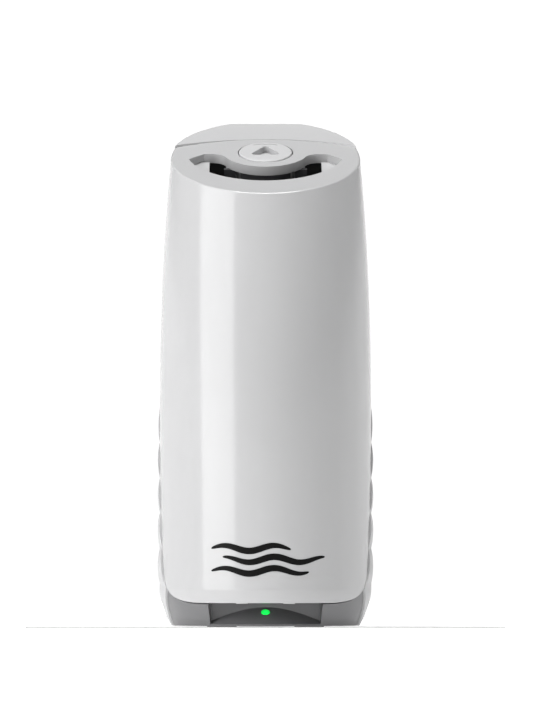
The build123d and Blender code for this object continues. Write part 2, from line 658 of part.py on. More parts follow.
def make_battery_door():
    half = BOX_HALF - 1
    low = DECK_Z + 1.6
    face_y = PANEL_Y - 1.7
    door = block(-half, half, face_y, PANEL_Y - 0.1, low, SHELF_Z - 0.4)
    door = fillet(door.edges().filter_by(Axis.Y), 2.0)
    inner = BOX_HALF - BOX_WALL - 0.4
    door += block(-inner, inner, PANEL_Y - 0.5, PANEL_Y + 1.6, low + 2.6, low + 4.0)
    door += block(-4, 4, PANEL_Y - 0.5, PANEL_Y + 2.6, SHELF_Z - 2.3, SHELF_Z - 1.0)
    for step in range(4):
        z = SHELF_Z - 10 - 2.4 * step
        door -= block(-6, 6, face_y - 0.1, face_y + 0.6, z, z + 1.1)
    return door


# ================================================================ AA cells
def make_cell(x, up):
    """An AA cell, plus end up against the bridge or down on its contact."""
    body = rod(CELL_R, 0, CELL_LENGTH)
    body = fillet(body.edges(), 0.6)
    body += rod(CELL_NUB_R, CELL_LENGTH - 0.1, CELL_LENGTH + CELL_NUB)
    if up:
        return Pos(x, CELL_Y, SHELF_Z - CONTACT - CONTACT_GAP - CELL_LENGTH - CELL_NUB) * body
    return Pos(x, CELL_Y, BAY_Z + CONTACT + CONTACT_GAP + CELL_LENGTH + CELL_NUB) * Rot(180, 0, 0) * body


def coil(radius, wire, height, turns):
    """A helical spring with its axis on Z, standing on z = 0."""
    path = Helix(pitch=(height - wire) / turns, height=height - wire, radius=radius)
    section = Plane(path @ 0, z_dir=path % 0) * Circle(wire / 2)
    return Pos(0, 0, wire / 2) * sweep(section, path)


def make_battery_springs():
    """A spring for each cell's flat end."""
    height = CELL_SPRING - 4 * CONTACT_GAP
    spring = coil(SPRING_COIL_R, 0.6, height, 3)
    low = Pos(-CELL_PITCH / 2, CELL_Y, BAY_Z + CONTACT + 2 * CONTACT_GAP) * spring
    high = Pos(CELL_PITCH / 2, CELL_Y, SHELF_Z - CONTACT - 2 * CONTACT_GAP) * Rot(180, 0, 0) * spring
    return Compound([low, high])


def make_battery_contacts():
    """Flat contacts below the cells, with solder tails behind the box."""
    plates = []
    for x in (-CELL_PITCH / 2, CELL_PITCH / 2):
        plate = block(x - CONTACT_HALF, x + CONTACT_HALF, CELL_Y - CONTACT_HALF, BOX_BACK_Y - BOX_WALL,
                      BAY_Z, BAY_Z + CONTACT)
        tail = block(x - TAIL_HALF, x + TAIL_HALF, BOX_BACK_Y - BOX_WALL - 1, BOX_BACK_Y + 1.5,
                     BAY_Z, BAY_Z + CONTACT)
        plates.append(plate + tail)
    return Compound(plates)


def make_contact_bridge():
    """The strip that joins the two cells at the top."""
    half = CELL_PITCH / 2 + CONTACT_HALF
    return block(-half, half, CELL_Y - 5, CELL_Y + 5, SHELF_Z - CONTACT, SHELF_Z)


# ================================================================ cartridge
def make_cartridge_base():
    top = CART_BASE_Z + CART_BASE_H
    cup = rod(CART_R + 1.4, CART_BASE_Z, top, 0, CART_Y)
    cup = fillet(cup.edges().group_by(Axis.Z)[0], 0.8)
    cup -= rod(CART_R + 0.05, CART_BASE_Z + 5.5, top + 1, 0, CART_Y)
    cup -= rod(OXYGEN_CELL_R + 0.1, CART_BASE_Z + 1.0, top, 0, CART_Y)
    cup -= rod(5.0, CART_BASE_Z - 1, top, 0, CART_Y)
    for number in range(24):
        place = Pos(0, CART_Y, 0) * Rot(0, 0, number * 15) * Pos(CART_R + 1.4, 0, CART_BASE_Z + 3.6)
        cup -= place * Cylinder(0.45, 3.0)
    return cup


def make_oxygen_cell():
    low = CART_BASE_Z + 1.0
    can = rod(OXYGEN_CELL_R, low, low + 3.2, 0, CART_Y)
    can = fillet(can.edges(), 0.5)
    return can + rod(OXYGEN_CELL_R - 3.4, low - 0.5, low + 0.5, 0, CART_Y) & rod(
        OXYGEN_CELL_R, low - 0.5, low + 4, 0, CART_Y)


BOTTLE_Z = CART_BASE_Z + 5.5
BOTTLE_TOP = CART_CAP_TOP - 13.0


def make_bottle():
    body = rod(CART_R, BOTTLE_Z, BOTTLE_TOP, 0, CART_Y)
    body = fillet(body.edges().group_by(Axis.Z)[-1], 1.2)
    body -= rod(CART_R - CART_WALL, BOTTLE_Z - 1, BOTTLE_TOP - CART_WALL, 0, CART_Y)
    body += rod(4.0, BOTTLE_TOP - 0.2, BOTTLE_TOP + 3.0, 0, CART_Y)
    body -= rod(2.0, BOTTLE_TOP - 3, BOTTLE_TOP + 4, 0, CART_Y)
    return body


PISTON_Z = BOTTLE_Z + 1.0


def make_piston():
    radius = CART_R - CART_WALL - PISTON_GAP
    body = rod(radius, PISTON_Z, PISTON_Z + PISTON_H, 0, CART_Y)
    body -= rod(radius - 2.0, PISTON_Z - 1, PISTON_Z + PISTON_H - 1.6, 0, CART_Y)
    groove = rod(radius + 1, PISTON_Z + 3.6, PISTON_Z + 5.2, 0, CART_Y) - rod(
        radius - 1.2, PISTON_Z + 3.5, PISTON_Z + 5.3, 0, CART_Y)
    return body - groove


def make_piston_seal():
    radius = CART_R - CART_WALL
    middle = PISTON_Z + 4.4
    ring = Pos(0, CART_Y, middle) * Torus(radius - 0.75, 0.7)
    return ring


def make_nozzle():
    low = BOTTLE_TOP - 2.6
    body = rod(1.9, low, BOTTLE_TOP + 4.0, 0, CART_Y)
    body += rod(3.6, BOTTLE_TOP + 3.05, BOTTLE_TOP + 4.0, 0, CART_Y)
    return body - rod(0.4, low - 1, BOTTLE_TOP + 5, 0, CART_Y)


def make_emanator_pad():
    low = BOTTLE_TOP + 4.1
    pad = rod(PAD_R, low, low + PAD_H, 0, CART_Y)
    return fillet(pad.edges(), 0.6)


def make_cartridge_cap():
    low = CART_CAP_TOP - CART_CAP_H
    cap = rod(CART_CAP_R, low, CART_CAP_TOP, 0, CART_Y)
    cap = fillet(cap.edges().group_by(Axis.Z)[-1], 1.5)
    cap -= rod(CART_R + 0.05, low - 1, BOTTLE_TOP + 0.05, 0, CART_Y)
    cap -= rod(CART_CAP_R - 2.4, BOTTLE_TOP - 1.0, CART_CAP_TOP - 1.8, 0, CART_Y)
    for number in range(12):
        place = Pos(0, CART_Y, CART_CAP_TOP) * Rot(0, 0, number * 30)
        cap -= place * Pos(11.5, 0, 0) * Box(9.0, 2.6, 8)
    for number in range(16):
        place = Pos(0, CART_Y, CART_CAP_TOP - 6.3) * Rot(0, 0, number * 22.5 + 11.25)
        cap -= place * Pos(CART_CAP_R - 1, 0, 0) * Box(6, 3.6, 6.0)
    return cap


# ================================================================ latch
def make_release_button():
    radius = BUTTON_R
    disc = on_top(0, 0, (BUTTON_PROUD - BUTTON_THICK) / 2) * Cylinder(radius, BUTTON_PROUD + BUTTON_THICK)
    top = max(disc.edges(), key=lambda e: TOP.to_local_coords(e.center()).Z)
    disc = fillet(top, 0.5)
    skirt = on_top(0, 0, -(BUTTON_SKIRT + 1) / 2) * (
        Cylinder(radius, BUTTON_SKIRT - 1) - Cylinder(radius - 1.4, BUTTON_SKIRT)
    )
    stem_low = STEM_END - NIB_LENGTH
    stem = on_top(0, 0, -(stem_low + 1) / 2) * Cylinder(STEM_R, stem_low - 1)
    nib = on_top(0, 0, -(STEM_END + 1) / 2) * Cylinder(NIB_R, STEM_END - 1)
    body = disc + skirt + stem + nib
    triangle = Polyline((-5.6, -3.0), (5.6, -3.0), (0, 6.2), close=True)
    dimple = make_face(triangle)
    dimple = fillet(dimple.vertices(), 1.1)
    body -= sunk(dimple, BUTTON_PROUD + 0.1, BUTTON_PROUD - DIMPLE_DEPTH)
    groove = Edge.make_three_point_arc((-4.2, 6.5), (0, 7.5), (4.2, 6.5))
    line = trace(groove, 0.45)
    body -= sunk(line, BUTTON_PROUD + 0.1, BUTTON_PROUD - 0.3)
    return body


def make_button_spring():
    length = GUIDE_DEPTH - BUTTON_THICK - 0.2
    return on_top(0, 0, -GUIDE_DEPTH + 0.1) * coil(SPRING_R, SPRING_WIRE, length, 3)


def make_latch_bracket():
    """Bracket under the cover's top, with the rocker's ears and two ribs."""
    n = -BRACKET_N - BRACKET_THICK / 2
    plate = on_top(0, -1.2, n) * Box(18.0, 13.5, BRACKET_THICK)
    shield_r = BUTTON_R + BUTTON_GAP + GUIDE_WALL + 0.4
    low, high = BRACKET_N + BRACKET_THICK, VENT_DEPTH + 0.1
    shield = on_top(0, 0, -(low + high) / 2) * Cylinder(shield_r + SHIELD_WALL, low - high)
    shield -= on_top(0, 0, -(high + BRACKET_N) / 2) * Cylinder(shield_r, BRACKET_N - high)
    plate += shield & (on_top(0, -shield_r, -BRACKET_N) * Box(2 * SHIELD_HALF, 2 * SHIELD_REACH, 40))
    for u, w in BRACKET_POSTS:
        plate += on_top(u, w, n) * Cylinder(3.0, BRACKET_THICK)
        rib_w = w - 3.0
        plate += on_top(copysign(RIB_U, u), rib_w, -(low + high) / 2) * Box(RIB_WIDTH, 1.4, low - high)
        plate += on_top(copysign(RIB_U, u), w - 2, n) * Box(RIB_WIDTH, 4.0, BRACKET_THICK)
        plate -= on_top(u, w, n) * Cylinder(SMALL_SCREW[0] + 0.2, 4)
    plate -= on_top(0, 4.5, n) * Box(2 * ROCKER_HALF + 1.0, 19.0, 4)
    for side in (-1, 1):
        x0, x1 = sorted((side * (ROCKER_HALF + 0.5), side * 6.6))
        plate += block(x0, x1, ROCKER_Y - 2.4, ROCKER_Y + 2.2, ROCKER_Z - 2.2, ROCKER_Z + 2.0)
    return plate - rod_x(LATCH_PIN_R, -10, 10, ROCKER_Y, ROCKER_Z)


def make_latch_pin():
    return rod_x(LATCH_PIN_R, -6.6, 6.6, ROCKER_Y, ROCKER_Z)


def make_latch_rocker():
    """Lever from under the button's stem back to the hook."""
    hub = rod_x(2.1, -ROCKER_HALF, ROCKER_HALF, ROCKER_Y, ROCKER_Z)
    pivot = TOP.to_local_coords(Vector(0, ROCKER_Y, ROCKER_Z))
    nose_n = -STEM_END - ROCKER_GAP - ROCKER_NOSE_R
    nose = on_top(0, 0, nose_n) * Rot(0, 90, 0) * Cylinder(ROCKER_NOSE_R, 2 * ROCKER_HALF)
    arm = Polyline(
        (-ROCKER_NOSE_R, nose_n), (0.3, nose_n + ROCKER_NOSE_R * 0.9), (pivot.Y + 0.6, pivot.Z + 2.0),
        (pivot.Y - 0.8, pivot.Z - 1.9), close=True,
    )
    side = Plane(TOP.origin, x_dir=TOP.y_dir, z_dir=(1, 0, 0))
    front = extrude(side * make_face(arm), ROCKER_HALF, both=True)
    tail = Polyline(
        (ROCKER_Y, ROCKER_Z + 2.1), (HOOK_Y + 2.2, KEEPER_Z + 3.2), (HOOK_Y + 2.2, KEEPER_Z - 0.3),
        (HOOK_Y + 0.4, KEEPER_Z - 0.3), (HOOK_Y, KEEPER_Z + 0.6), (ROCKER_Y + 1.5, KEEPER_Z + 0.6),
        (ROCKER_Y, ROCKER_Z), close=True,
    )
    rear = extrude(Plane.YZ * make_face(tail), ROCKER_HALF, both=True)
    body = hub + nose + front + rear
    return body - rod_x(LATCH_PIN_R + RUNNING, -10, 10, ROCKER_Y, ROCKER_Z)


def stem_tip():
    """Middle of the stem's end, as (y, z)."""
    place = TOP.from_local_coords(Vector(0, 0, -STEM_END))
    return place.Y, place.Z


# ================================================================ electronics
def make_control_board():
    board = block(-BOARD_HALF, BOARD_HALF, BOARD_FRONT_Y, BOARD_BACK_Y, BOARD_Z, BOARD_Z + BOARD_THICK)
    board = fillet(board.edges().filter_by(Axis.Z), 1.5)
    for x, y in BOARD_POSTS:
        board -= rod(1.2, 0, DECK_Z, x, y)
    return board


def make_microcontroller():
    z = BOARD_Z + BOARD_THICK
    middle = BOARD_FRONT_Y + 17.0
    body = block(-3.5, 3.5, middle - 3.5, middle + 3.5, z + 0.1, z + 1.1)
    for side in (-1, 1):
        near, far = sorted((side * 3.3, side * 4.6))
        for step in range(6):
            pin = step - 2.5
            body += block(pin - 0.2, pin + 0.2, middle + near, middle + far, z, z + 0.4)
            body += block(near, far, middle + pin - 0.2, middle + pin + 0.2, z, z + 0.4)
    return body


def make_capacitors():
    z = BOARD_Z + BOARD_THICK
    y = BOARD_BACK_Y - 8.5
    cans = [rod(2.0, z, z + 4.6, x, y) for x in (-8.5, -3.8)]
    cans = [fillet(can.edges().group_by(Axis.Z)[-1], 0.4) for can in cans]
    return Compound(cans + [block(2, 5, y - 1.5, y + 1.5, z, z + 2.0)])


def make_connectors():
    """Two sockets for leads from above and one for the lead from the side."""
    z = BOARD_Z + BOARD_THICK
    shells = []
    for x in PLUG_XS:
        shell = block(x - 2.6, x + 2.6, PLUG_Y - 2, PLUG_Y + 2, z, z + 4.4)
        shells.append(shell - block(x - 2.0, x + 2.0, PLUG_Y - 1.4, PLUG_Y + 1.4, z + 1.2, z + 5))
    x, y = SIDE_PLUG
    shell = block(x - 2.6, x + 1.6, y - 2.2, y + 2.2, z, z + 4.0)
    shells.append(shell - block(x - 1.6, x + 3, y - 1.4, y + 1.4, z + 0.8, z + 3.2))
    return Compound(shells)


def make_switch_board():
    board = block(SWITCH_X - 2.0, SWITCH_X + 2.0, SWITCH_BOARD_Y, SWITCH_BOARD_Y + SWITCH_BOARD_THICK,
                  TEST_Z - 10, SWITCH_Z + 12)
    for z in SWITCH_POSTS:
        board -= rod_y(0.9, SWITCH_BOARD_Y - 1, SWITCH_BOARD_Y + 2, SWITCH_X, z)
    return board


def make_switch_housings():
    y1 = SWITCH_BOARD_Y
    y0 = PANEL_Y + SKIN + 0.2
    slide = block(SWITCH_X - 1.9, SWITCH_X + 1.9, y0, y1, SWITCH_Z - 6, SWITCH_Z + 6)
    slide -= block(SWITCH_X - 1.1, SWITCH_X + 1.1, y0 - 1, y1 - 0.8,
                   SWITCH_Z - SWITCH_TRAVEL - 1.3, SWITCH_Z + SWITCH_TRAVEL + 1.3)
    test = block(SWITCH_X - 1.9, SWITCH_X + 1.9, y0 + 1.0, y1, TEST_Z - 2.5, TEST_Z + 2.5)
    test -= rod_y(1.45, y0, y1 - 0.7, SWITCH_X, TEST_Z)
    return Compound([slide, test])


def make_duration_slider():
    front = PANEL_Y - 1.6
    knob = block(SWITCH_X - 1.2, SWITCH_X + 1.2, front, PANEL_Y + 1.2, SWITCH_Z - 1.4, SWITCH_Z + 1.4)
    knob = fillet(knob.edges().filter_by(Axis.X), 0.35)
    for step in (-0.8, 0.0, 0.8):
        z = SWITCH_Z + step
        knob -= block(SWITCH_X - 2, SWITCH_X + 2, front - 1, front + 0.3, z - 0.15, z + 0.15)
    stem = block(SWITCH_X - 0.9, SWITCH_X + 0.9, PANEL_Y, SWITCH_BOARD_Y - 1.0,
                 SWITCH_Z - 1.0, SWITCH_Z + 1.0)
    return knob + stem


def make_test_button():
    button = rod_y(1.75, PANEL_Y - 0.8, PANEL_Y + SKIN + 0.25, SWITCH_X, TEST_Z)
    button = fillet(button.edges().group_by(Axis.Y)[0], 0.3)
    return button + rod_y(1.3, PANEL_Y, SWITCH_BOARD_Y - 0.8 - TEST_TRAVEL, SWITCH_X, TEST_Z)


# ================================================================ leads
def lead(points, radius):
    """An insulated lead along a route, with arcs as large as its runs allow."""
    radii = []
    for a, b, c in zip(points, points[1:], points[2:]):
        first, second = Vector(*b) - Vector(*a), Vector(*c) - Vector(*b)
        half_turn = radians(first.get_angle(second)) / 2
        radii.append(0.45 * min(first.length, second.length) / tan(half_turn))
    path = FilletPolyline(*points, radius=radii)
    return sweep(Plane(path @ 0, z_dir=path % 0) * Circle(radius), path)


def make_leads():
    """Battery leads, oxygen cell leads and the switch lead, by node name."""
    plug_z = BOARD_Z + BOARD_THICK + 1.4
    tail_y = BOX_BACK_Y + 1.5
    tail_z = BAY_Z + CONTACT / 2
    left, right = PLUG_XS
    leads = {}
    battery = (("lead_black", -CELL_PITCH / 2, left - 0.9), ("lead_red", CELL_PITCH / 2, left + 0.9))
    for name, x, plug in battery:
        leads[name] = lead(
            [(x, tail_y, tail_z), (x, tail_y + 4.1, tail_z), (x / 2 + plug / 2, PLUG_Y - 1.4, DECK_Z + 1),
             (plug, PLUG_Y, DECK_Z - 1.5), (plug, PLUG_Y + 0.1, plug_z)], THIN_LEAD_R)
    for name, x, plug in (("cell_lead_blue", -2.0, right - 1.1), ("cell_lead_white", 2.0, right + 1.1)):
        leads[name] = lead([(x, CELL_TAIL_Y + 0.4, SHELF_Z - 1.5), (x, CELL_TAIL_Y + 4.4, SHELF_Z - 1.5),
                            (x * 2, PLUG_Y - 1.8, SHELF_Z - 30), (plug, PLUG_Y - 2.4, DECK_Z + 8),
                            (plug, PLUG_Y, DECK_Z - 3), (plug, PLUG_Y + 0.1, plug_z)], THIN_LEAD_R)
    x, y = SIDE_PLUG
    back = SWITCH_BOARD_Y + SWITCH_BOARD_THICK
    middle = (SWITCH_Z + TEST_Z) / 2
    leads["switch_lead"] = lead(
        [(SWITCH_X, back, middle), (SWITCH_X, back + 3.8, middle), (SWITCH_X - 0.7, y - 0.6, middle - 16),
         (DECK_SLOT[0] + 2.2, y, DECK_Z), (DECK_SLOT[0] - 0.6, y, BOARD_Z + 4),
         (x - 1.0, y, BOARD_Z + BOARD_THICK + 2)], SWITCH_LEAD_R)
    return leads


def make_cell_contacts():
    """Two brass leaves in the shelf that press up on the oxygen cell."""
    top = SHELF_Z + SKIN - 0.2
    leaves = []
    for x in (-2.0, 2.0):
        leaf = block(x - 0.8, x + 0.8, CART_Y - 0.8, CELL_TAIL_Y + 0.4, top - 0.3, top)
        leaf += block(x - 0.8, x + 0.8, CART_Y - 0.8, CART_Y + 0.8, top - 0.3, CART_BASE_Z + 0.45)
        leaf += block(x - 0.8, x + 0.8, CELL_TAIL_Y, CELL_TAIL_Y + 0.4, SHELF_Z - 2.4, top)
        leaves.append(leaf)
    return Compound(leaves)


# ================================================================ screws
def screw(length, thread=THREAD_R, head_r=SCREW_HEAD_R, head_h=SCREW_HEAD_H):
    """A pan-head screw pointing down -Z from its seat at z = 0."""
    head = Pos(0, 0, head_h / 2) * Cylinder(head_r, head_h)
    head = fillet(head.edges().group_by(Axis.Z)[-1], head_h / 3)
    for turn in (0, 90):
        head -= Rot(0, 0, turn) * Pos(0, 0, head_h) * Box(head_r, head_r * 0.22, head_h)
    return head + Pos(0, 0, -length / 2) * Cylinder(thread, length)


def small_screw(length):
    return screw(length, *SMALL_SCREW)


TO_WALL = Rot(90, 0, 0)  # turns a screw to point along +Y
TO_FRONT = Rot(-90, 0, 0)  # and along -Y
UPWARD = Rot(180, 0, 0)


def make_screws():
    """Every group of screws, by node name."""
    carrier = [Pos(x, BACK_PANEL_Y, z) * TO_WALL * screw(8) for x, z in CARRIER_BOSSES]
    under_deck = DECK_Z - DECK_THICK
    ears = DECK_Z + CARRIER_GAP + SKIN
    deck = [Pos(x, PLINTH_SCREW_Y, under_deck) * UPWARD * screw(8)
            for x in (-PLINTH_SCREW_X, PLINTH_SCREW_X)]
    deck += [Pos(x, DECK_SCREW_Y, ears) * small_screw(6) for x in (-DECK_SCREW_X, DECK_SCREW_X)]
    plate = [Pos(x, y, FLOOR_GAP + SCREW_HEAD_H) * UPWARD * screw(8) for x, y in PLATE_POSTS]
    board = [Pos(x, y, BOARD_Z) * UPWARD * small_screw(5) for x, y in BOARD_POSTS]
    seat = -BRACKET_N - BRACKET_THICK
    bracket = [on_top(u, w, seat) * UPWARD * small_screw(6) for u, w in BRACKET_POSTS]
    switch = [Pos(SWITCH_X, SWITCH_BOARD_Y + SWITCH_BOARD_THICK, z) * TO_FRONT * small_screw(3.4)
              for z in SWITCH_POSTS]
    return {
        "carrier_screws": Compound(carrier),
        "deck_screws": Compound(deck),
        "bottom_screws": Compound(plate),
        "board_screws": Compound(board),
        "bracket_screws": Compound(bracket),
        "switch_screws": Compound(switch),
    }


# ================================================================ places
CARRIER_BOSSES = ((-19.0, 50.0), (19.0, 50.0), (-17.0, HEIGHT - 46), (17.0, HEIGHT - 46))
PLINTH_SCREW_X = 17.5
PLINTH_SCREW_Y = BACK_Y - 13.0
DECK_SCREW_X = 9.0
DECK_SCREW_Y = BACK_PANEL_Y + 5.6
PLATE_POSTS = ((-20.2, WIDEST_Y - 5.0), (20.2, WIDEST_Y - 5.0), (0.0, BACK_Y - 11.5))
BOARD_POSTS = (
    (-12.8, BOARD_FRONT_Y + 4.0), (12.8, BOARD_FRONT_Y + 4.0),
    (-12.8, BOARD_BACK_Y - 3.5), (12.8, BOARD_BACK_Y - 12.0),
)
PLUG_XS = (6.5, 12.0)
PLUG_Y = BOARD_BACK_Y - 2.6
SIDE_PLUG = (13.0, BOARD_FRONT_Y + 13.0)
SWITCH_POSTS = (TEST_Z - 7, SWITCH_Z + 9)
DECK_SLOT = (BOX_HALF + 0.4, BOX_HALF + 5.4, SIDE_PLUG[1] - 3.0, SIDE_PLUG[1] + 2.4)
DECK_WINDOW = (-9.5, 15.5, PLUG_Y - 6.9, PLUG_Y + 3.6)
FOOT_PADS = (
    (-14.5, -BACK_Y + 25.0), (14.5, -BACK_Y + 25.0), (-16.0, BACK_Y - 21.5), (16.0, BACK_Y - 21.5),
)
BRACKET_POSTS = ((-11.6, -4.0), (11.6, -4.0))
RIB_U = 12.4
RIB_WIDTH = 4.2
LED_PIPE_END = SCOOP_BACK_Y + 5.0
CLIP_X0, CLIP_X1 = 10.3, 14.1
CLIP_Z = CART_CAP_TOP + 0.3
ROCKER_Y = stem_tip()[0] + ROCKER_LEVER
ROCKER_Z = stem_tip()[1] - ROCKER_DROP
KEEPER_Y = BACK_PANEL_Y + 3.0
KEEPER_Z = ROCKER_Z + 0.4
HOOK_Y = KEEPER_Y + 1.3


def make_all():
    """Every sub-part by its node name."""
    parts = {
        "rear_housing": make_rear_housing(),
        "front_cover": make_front_cover(),
        "plinth": make_plinth(),
        "bottom_plate": make_bottom_plate(),
        "rubber_feet": make_rubber_feet(),
        "light_pipe": make_light_pipe(),
        "status_led": make_status_led(),
        "hinge_pin": rod_x(HINGE_PIN_R, -PIN_HALF, PIN_HALF, HINGE_Y, HINGE_Z),
        "carrier": make_carrier(),
        "retaining_clips": make_retaining_clips(),
        "battery_door": make_battery_door(),
        "cell_left": make_cell(-CELL_PITCH / 2, True),
        "cell_right": make_cell(CELL_PITCH / 2, False),
        "battery_springs": make_battery_springs(),
        "battery_contacts": make_battery_contacts(),
        "contact_bridge": make_contact_bridge(),
        "cartridge_base": make_cartridge_base(),
        "oxygen_cell": make_oxygen_cell(),
        "cartridge_bottle": make_bottle(),
        "piston": make_piston(),
        "piston_seal": make_piston_seal(),
        "cell_contacts": make_cell_contacts(),
        "metering_nozzle": make_nozzle(),
        "emanator_pad": make_emanator_pad(),
        "cartridge_cap": make_cartridge_cap(),
        "release_button": make_release_button(),
        "button_spring": make_button_spring(),
        "latch_bracket": make_latch_bracket(),
        "latch_pin": make_latch_pin(),
        "latch_rocker": make_latch_rocker(),
        "control_board": make_control_board(),
        "microcontroller": make_microcontroller(),
        "capacitors": make_capacitors(),
        "connectors": make_connectors(),
        "switch_board": make_switch_board(),
        "switch_housings": make_switch_housings(),
        "duration_slider": make_duration_slider(),
        "test_button": make_test_button(),
    }
    return parts | make_leads() | make_screws()


for name, shape in make_all().items():
    export_step(shape, f"parts/{name}.step")
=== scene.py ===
"""Looks of the air freshener dispenser: finishes, printed and raised marks, small parts, light and camera."""

import json
import logging
from dataclasses import dataclass, field
from enum import Enum
from math import cos, pi, radians, sin

import bmesh
import bpy
from mathutils import Matrix, Vector
from mathutils.bvhtree import BVHTree

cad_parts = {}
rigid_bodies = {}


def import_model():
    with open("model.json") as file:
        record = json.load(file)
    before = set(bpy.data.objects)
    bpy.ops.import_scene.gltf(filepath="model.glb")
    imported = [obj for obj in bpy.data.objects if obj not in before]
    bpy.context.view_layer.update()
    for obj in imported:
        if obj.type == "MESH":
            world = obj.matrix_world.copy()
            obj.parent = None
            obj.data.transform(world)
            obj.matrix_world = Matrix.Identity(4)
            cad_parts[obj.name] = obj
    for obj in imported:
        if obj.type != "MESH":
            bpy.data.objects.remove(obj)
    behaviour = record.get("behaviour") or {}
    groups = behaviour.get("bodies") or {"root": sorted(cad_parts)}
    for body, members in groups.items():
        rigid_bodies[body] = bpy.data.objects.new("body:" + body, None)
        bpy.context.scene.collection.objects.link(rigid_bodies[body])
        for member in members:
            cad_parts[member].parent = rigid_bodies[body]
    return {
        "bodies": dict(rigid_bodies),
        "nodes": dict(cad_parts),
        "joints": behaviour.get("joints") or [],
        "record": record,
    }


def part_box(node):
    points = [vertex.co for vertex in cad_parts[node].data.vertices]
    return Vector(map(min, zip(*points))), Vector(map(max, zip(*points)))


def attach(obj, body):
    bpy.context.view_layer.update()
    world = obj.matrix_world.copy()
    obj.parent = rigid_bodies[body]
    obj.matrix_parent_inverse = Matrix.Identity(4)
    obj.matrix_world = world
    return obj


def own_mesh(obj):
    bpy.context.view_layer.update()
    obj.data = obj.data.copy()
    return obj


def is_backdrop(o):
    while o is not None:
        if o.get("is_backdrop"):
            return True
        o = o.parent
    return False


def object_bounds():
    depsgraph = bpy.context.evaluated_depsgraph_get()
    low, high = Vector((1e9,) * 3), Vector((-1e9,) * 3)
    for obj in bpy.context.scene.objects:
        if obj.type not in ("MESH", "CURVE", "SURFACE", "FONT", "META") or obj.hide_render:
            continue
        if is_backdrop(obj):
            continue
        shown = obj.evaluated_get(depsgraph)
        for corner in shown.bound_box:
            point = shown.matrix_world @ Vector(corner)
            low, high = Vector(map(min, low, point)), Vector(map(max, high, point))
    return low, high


LOG = logging.getLogger("dispenser")
MM = 0.001
RAY_START_Y = -0.2  # well in front of the object
LEVEL_PITCH = 2.5 * MM  # the slider's travel each way
Colour = tuple[float, float, float]


# ---------------------------------------------------------------- shader tools
class Wire:
    """A shader value that adds Math nodes when it stands in an expression."""

    def __init__(self, shader: "Shader", socket: bpy.types.NodeSocket) -> None:
        """Hold a socket and the shader that it belongs to."""
        self.shader = shader
        self.socket = socket

    def _math(self, operation: str, *terms: "Wire | float") -> "Wire":
        """Add one Math node.

        Args:
            operation: the Math node's operation.
            terms: its inputs in order.

        Returns:
            The node's result.
        """
        node = self.shader.node("Math", {"operation": operation}, dict(enumerate(terms)))
        return Wire(self.shader, node.outputs[0])

    def __add__(self, other: "Wire | float") -> "Wire":
        """Sum."""
        return self._math("ADD", self, other)

    def __radd__(self, other: float) -> "Wire":
        """Sum with a number on the left."""
        return self._math("ADD", other, self)

    def __sub__(self, other: "Wire | float") -> "Wire":
        """Difference."""
        return self._math("SUBTRACT", self, other)

    def __rsub__(self, other: float) -> "Wire":
        """Difference from a number on the left."""
        return self._math("SUBTRACT", other, self)

    def __mul__(self, other: "Wire | float") -> "Wire":
        """Product."""
        return self._math("MULTIPLY", self, other)

    def __rmul__(self, other: float) -> "Wire":
        """Product with a number on the left."""
        return self._math("MULTIPLY", other, self)

    def __truediv__(self, other: "Wire | float") -> "Wire":
        """Quotient."""
        return self._math("DIVIDE", self, other)

    def __pow__(self, other: float) -> "Wire":
        """Power."""
        return self._math("POWER", self, other)

    def __gt__(self, other: "Wire | float") -> "Wire":
        """1 where this is larger, otherwise 0."""
        return self._math("GREATER_THAN", self, other)

    def __lt__(self, other: "Wire | float") -> "Wire":
        """1 where this is smaller, otherwise 0."""
        return self._math("LESS_THAN", self, other)

    def over(self, low: float, high: float) -> "Wire":
        """Spread this value smoothly from 0 to 1, held at both ends.

        Args:
            low: where the result is 0.
            high: where the result is 1.

        Returns:
            The spread value.
        """
        settings = {"interpolation_type": "SMOOTHSTEP"}
        node = self.shader.node("MapRange", settings, {"Value": self, "From Min": low, "From Max": high})
        return Wire(self.shader, node.outputs[0])


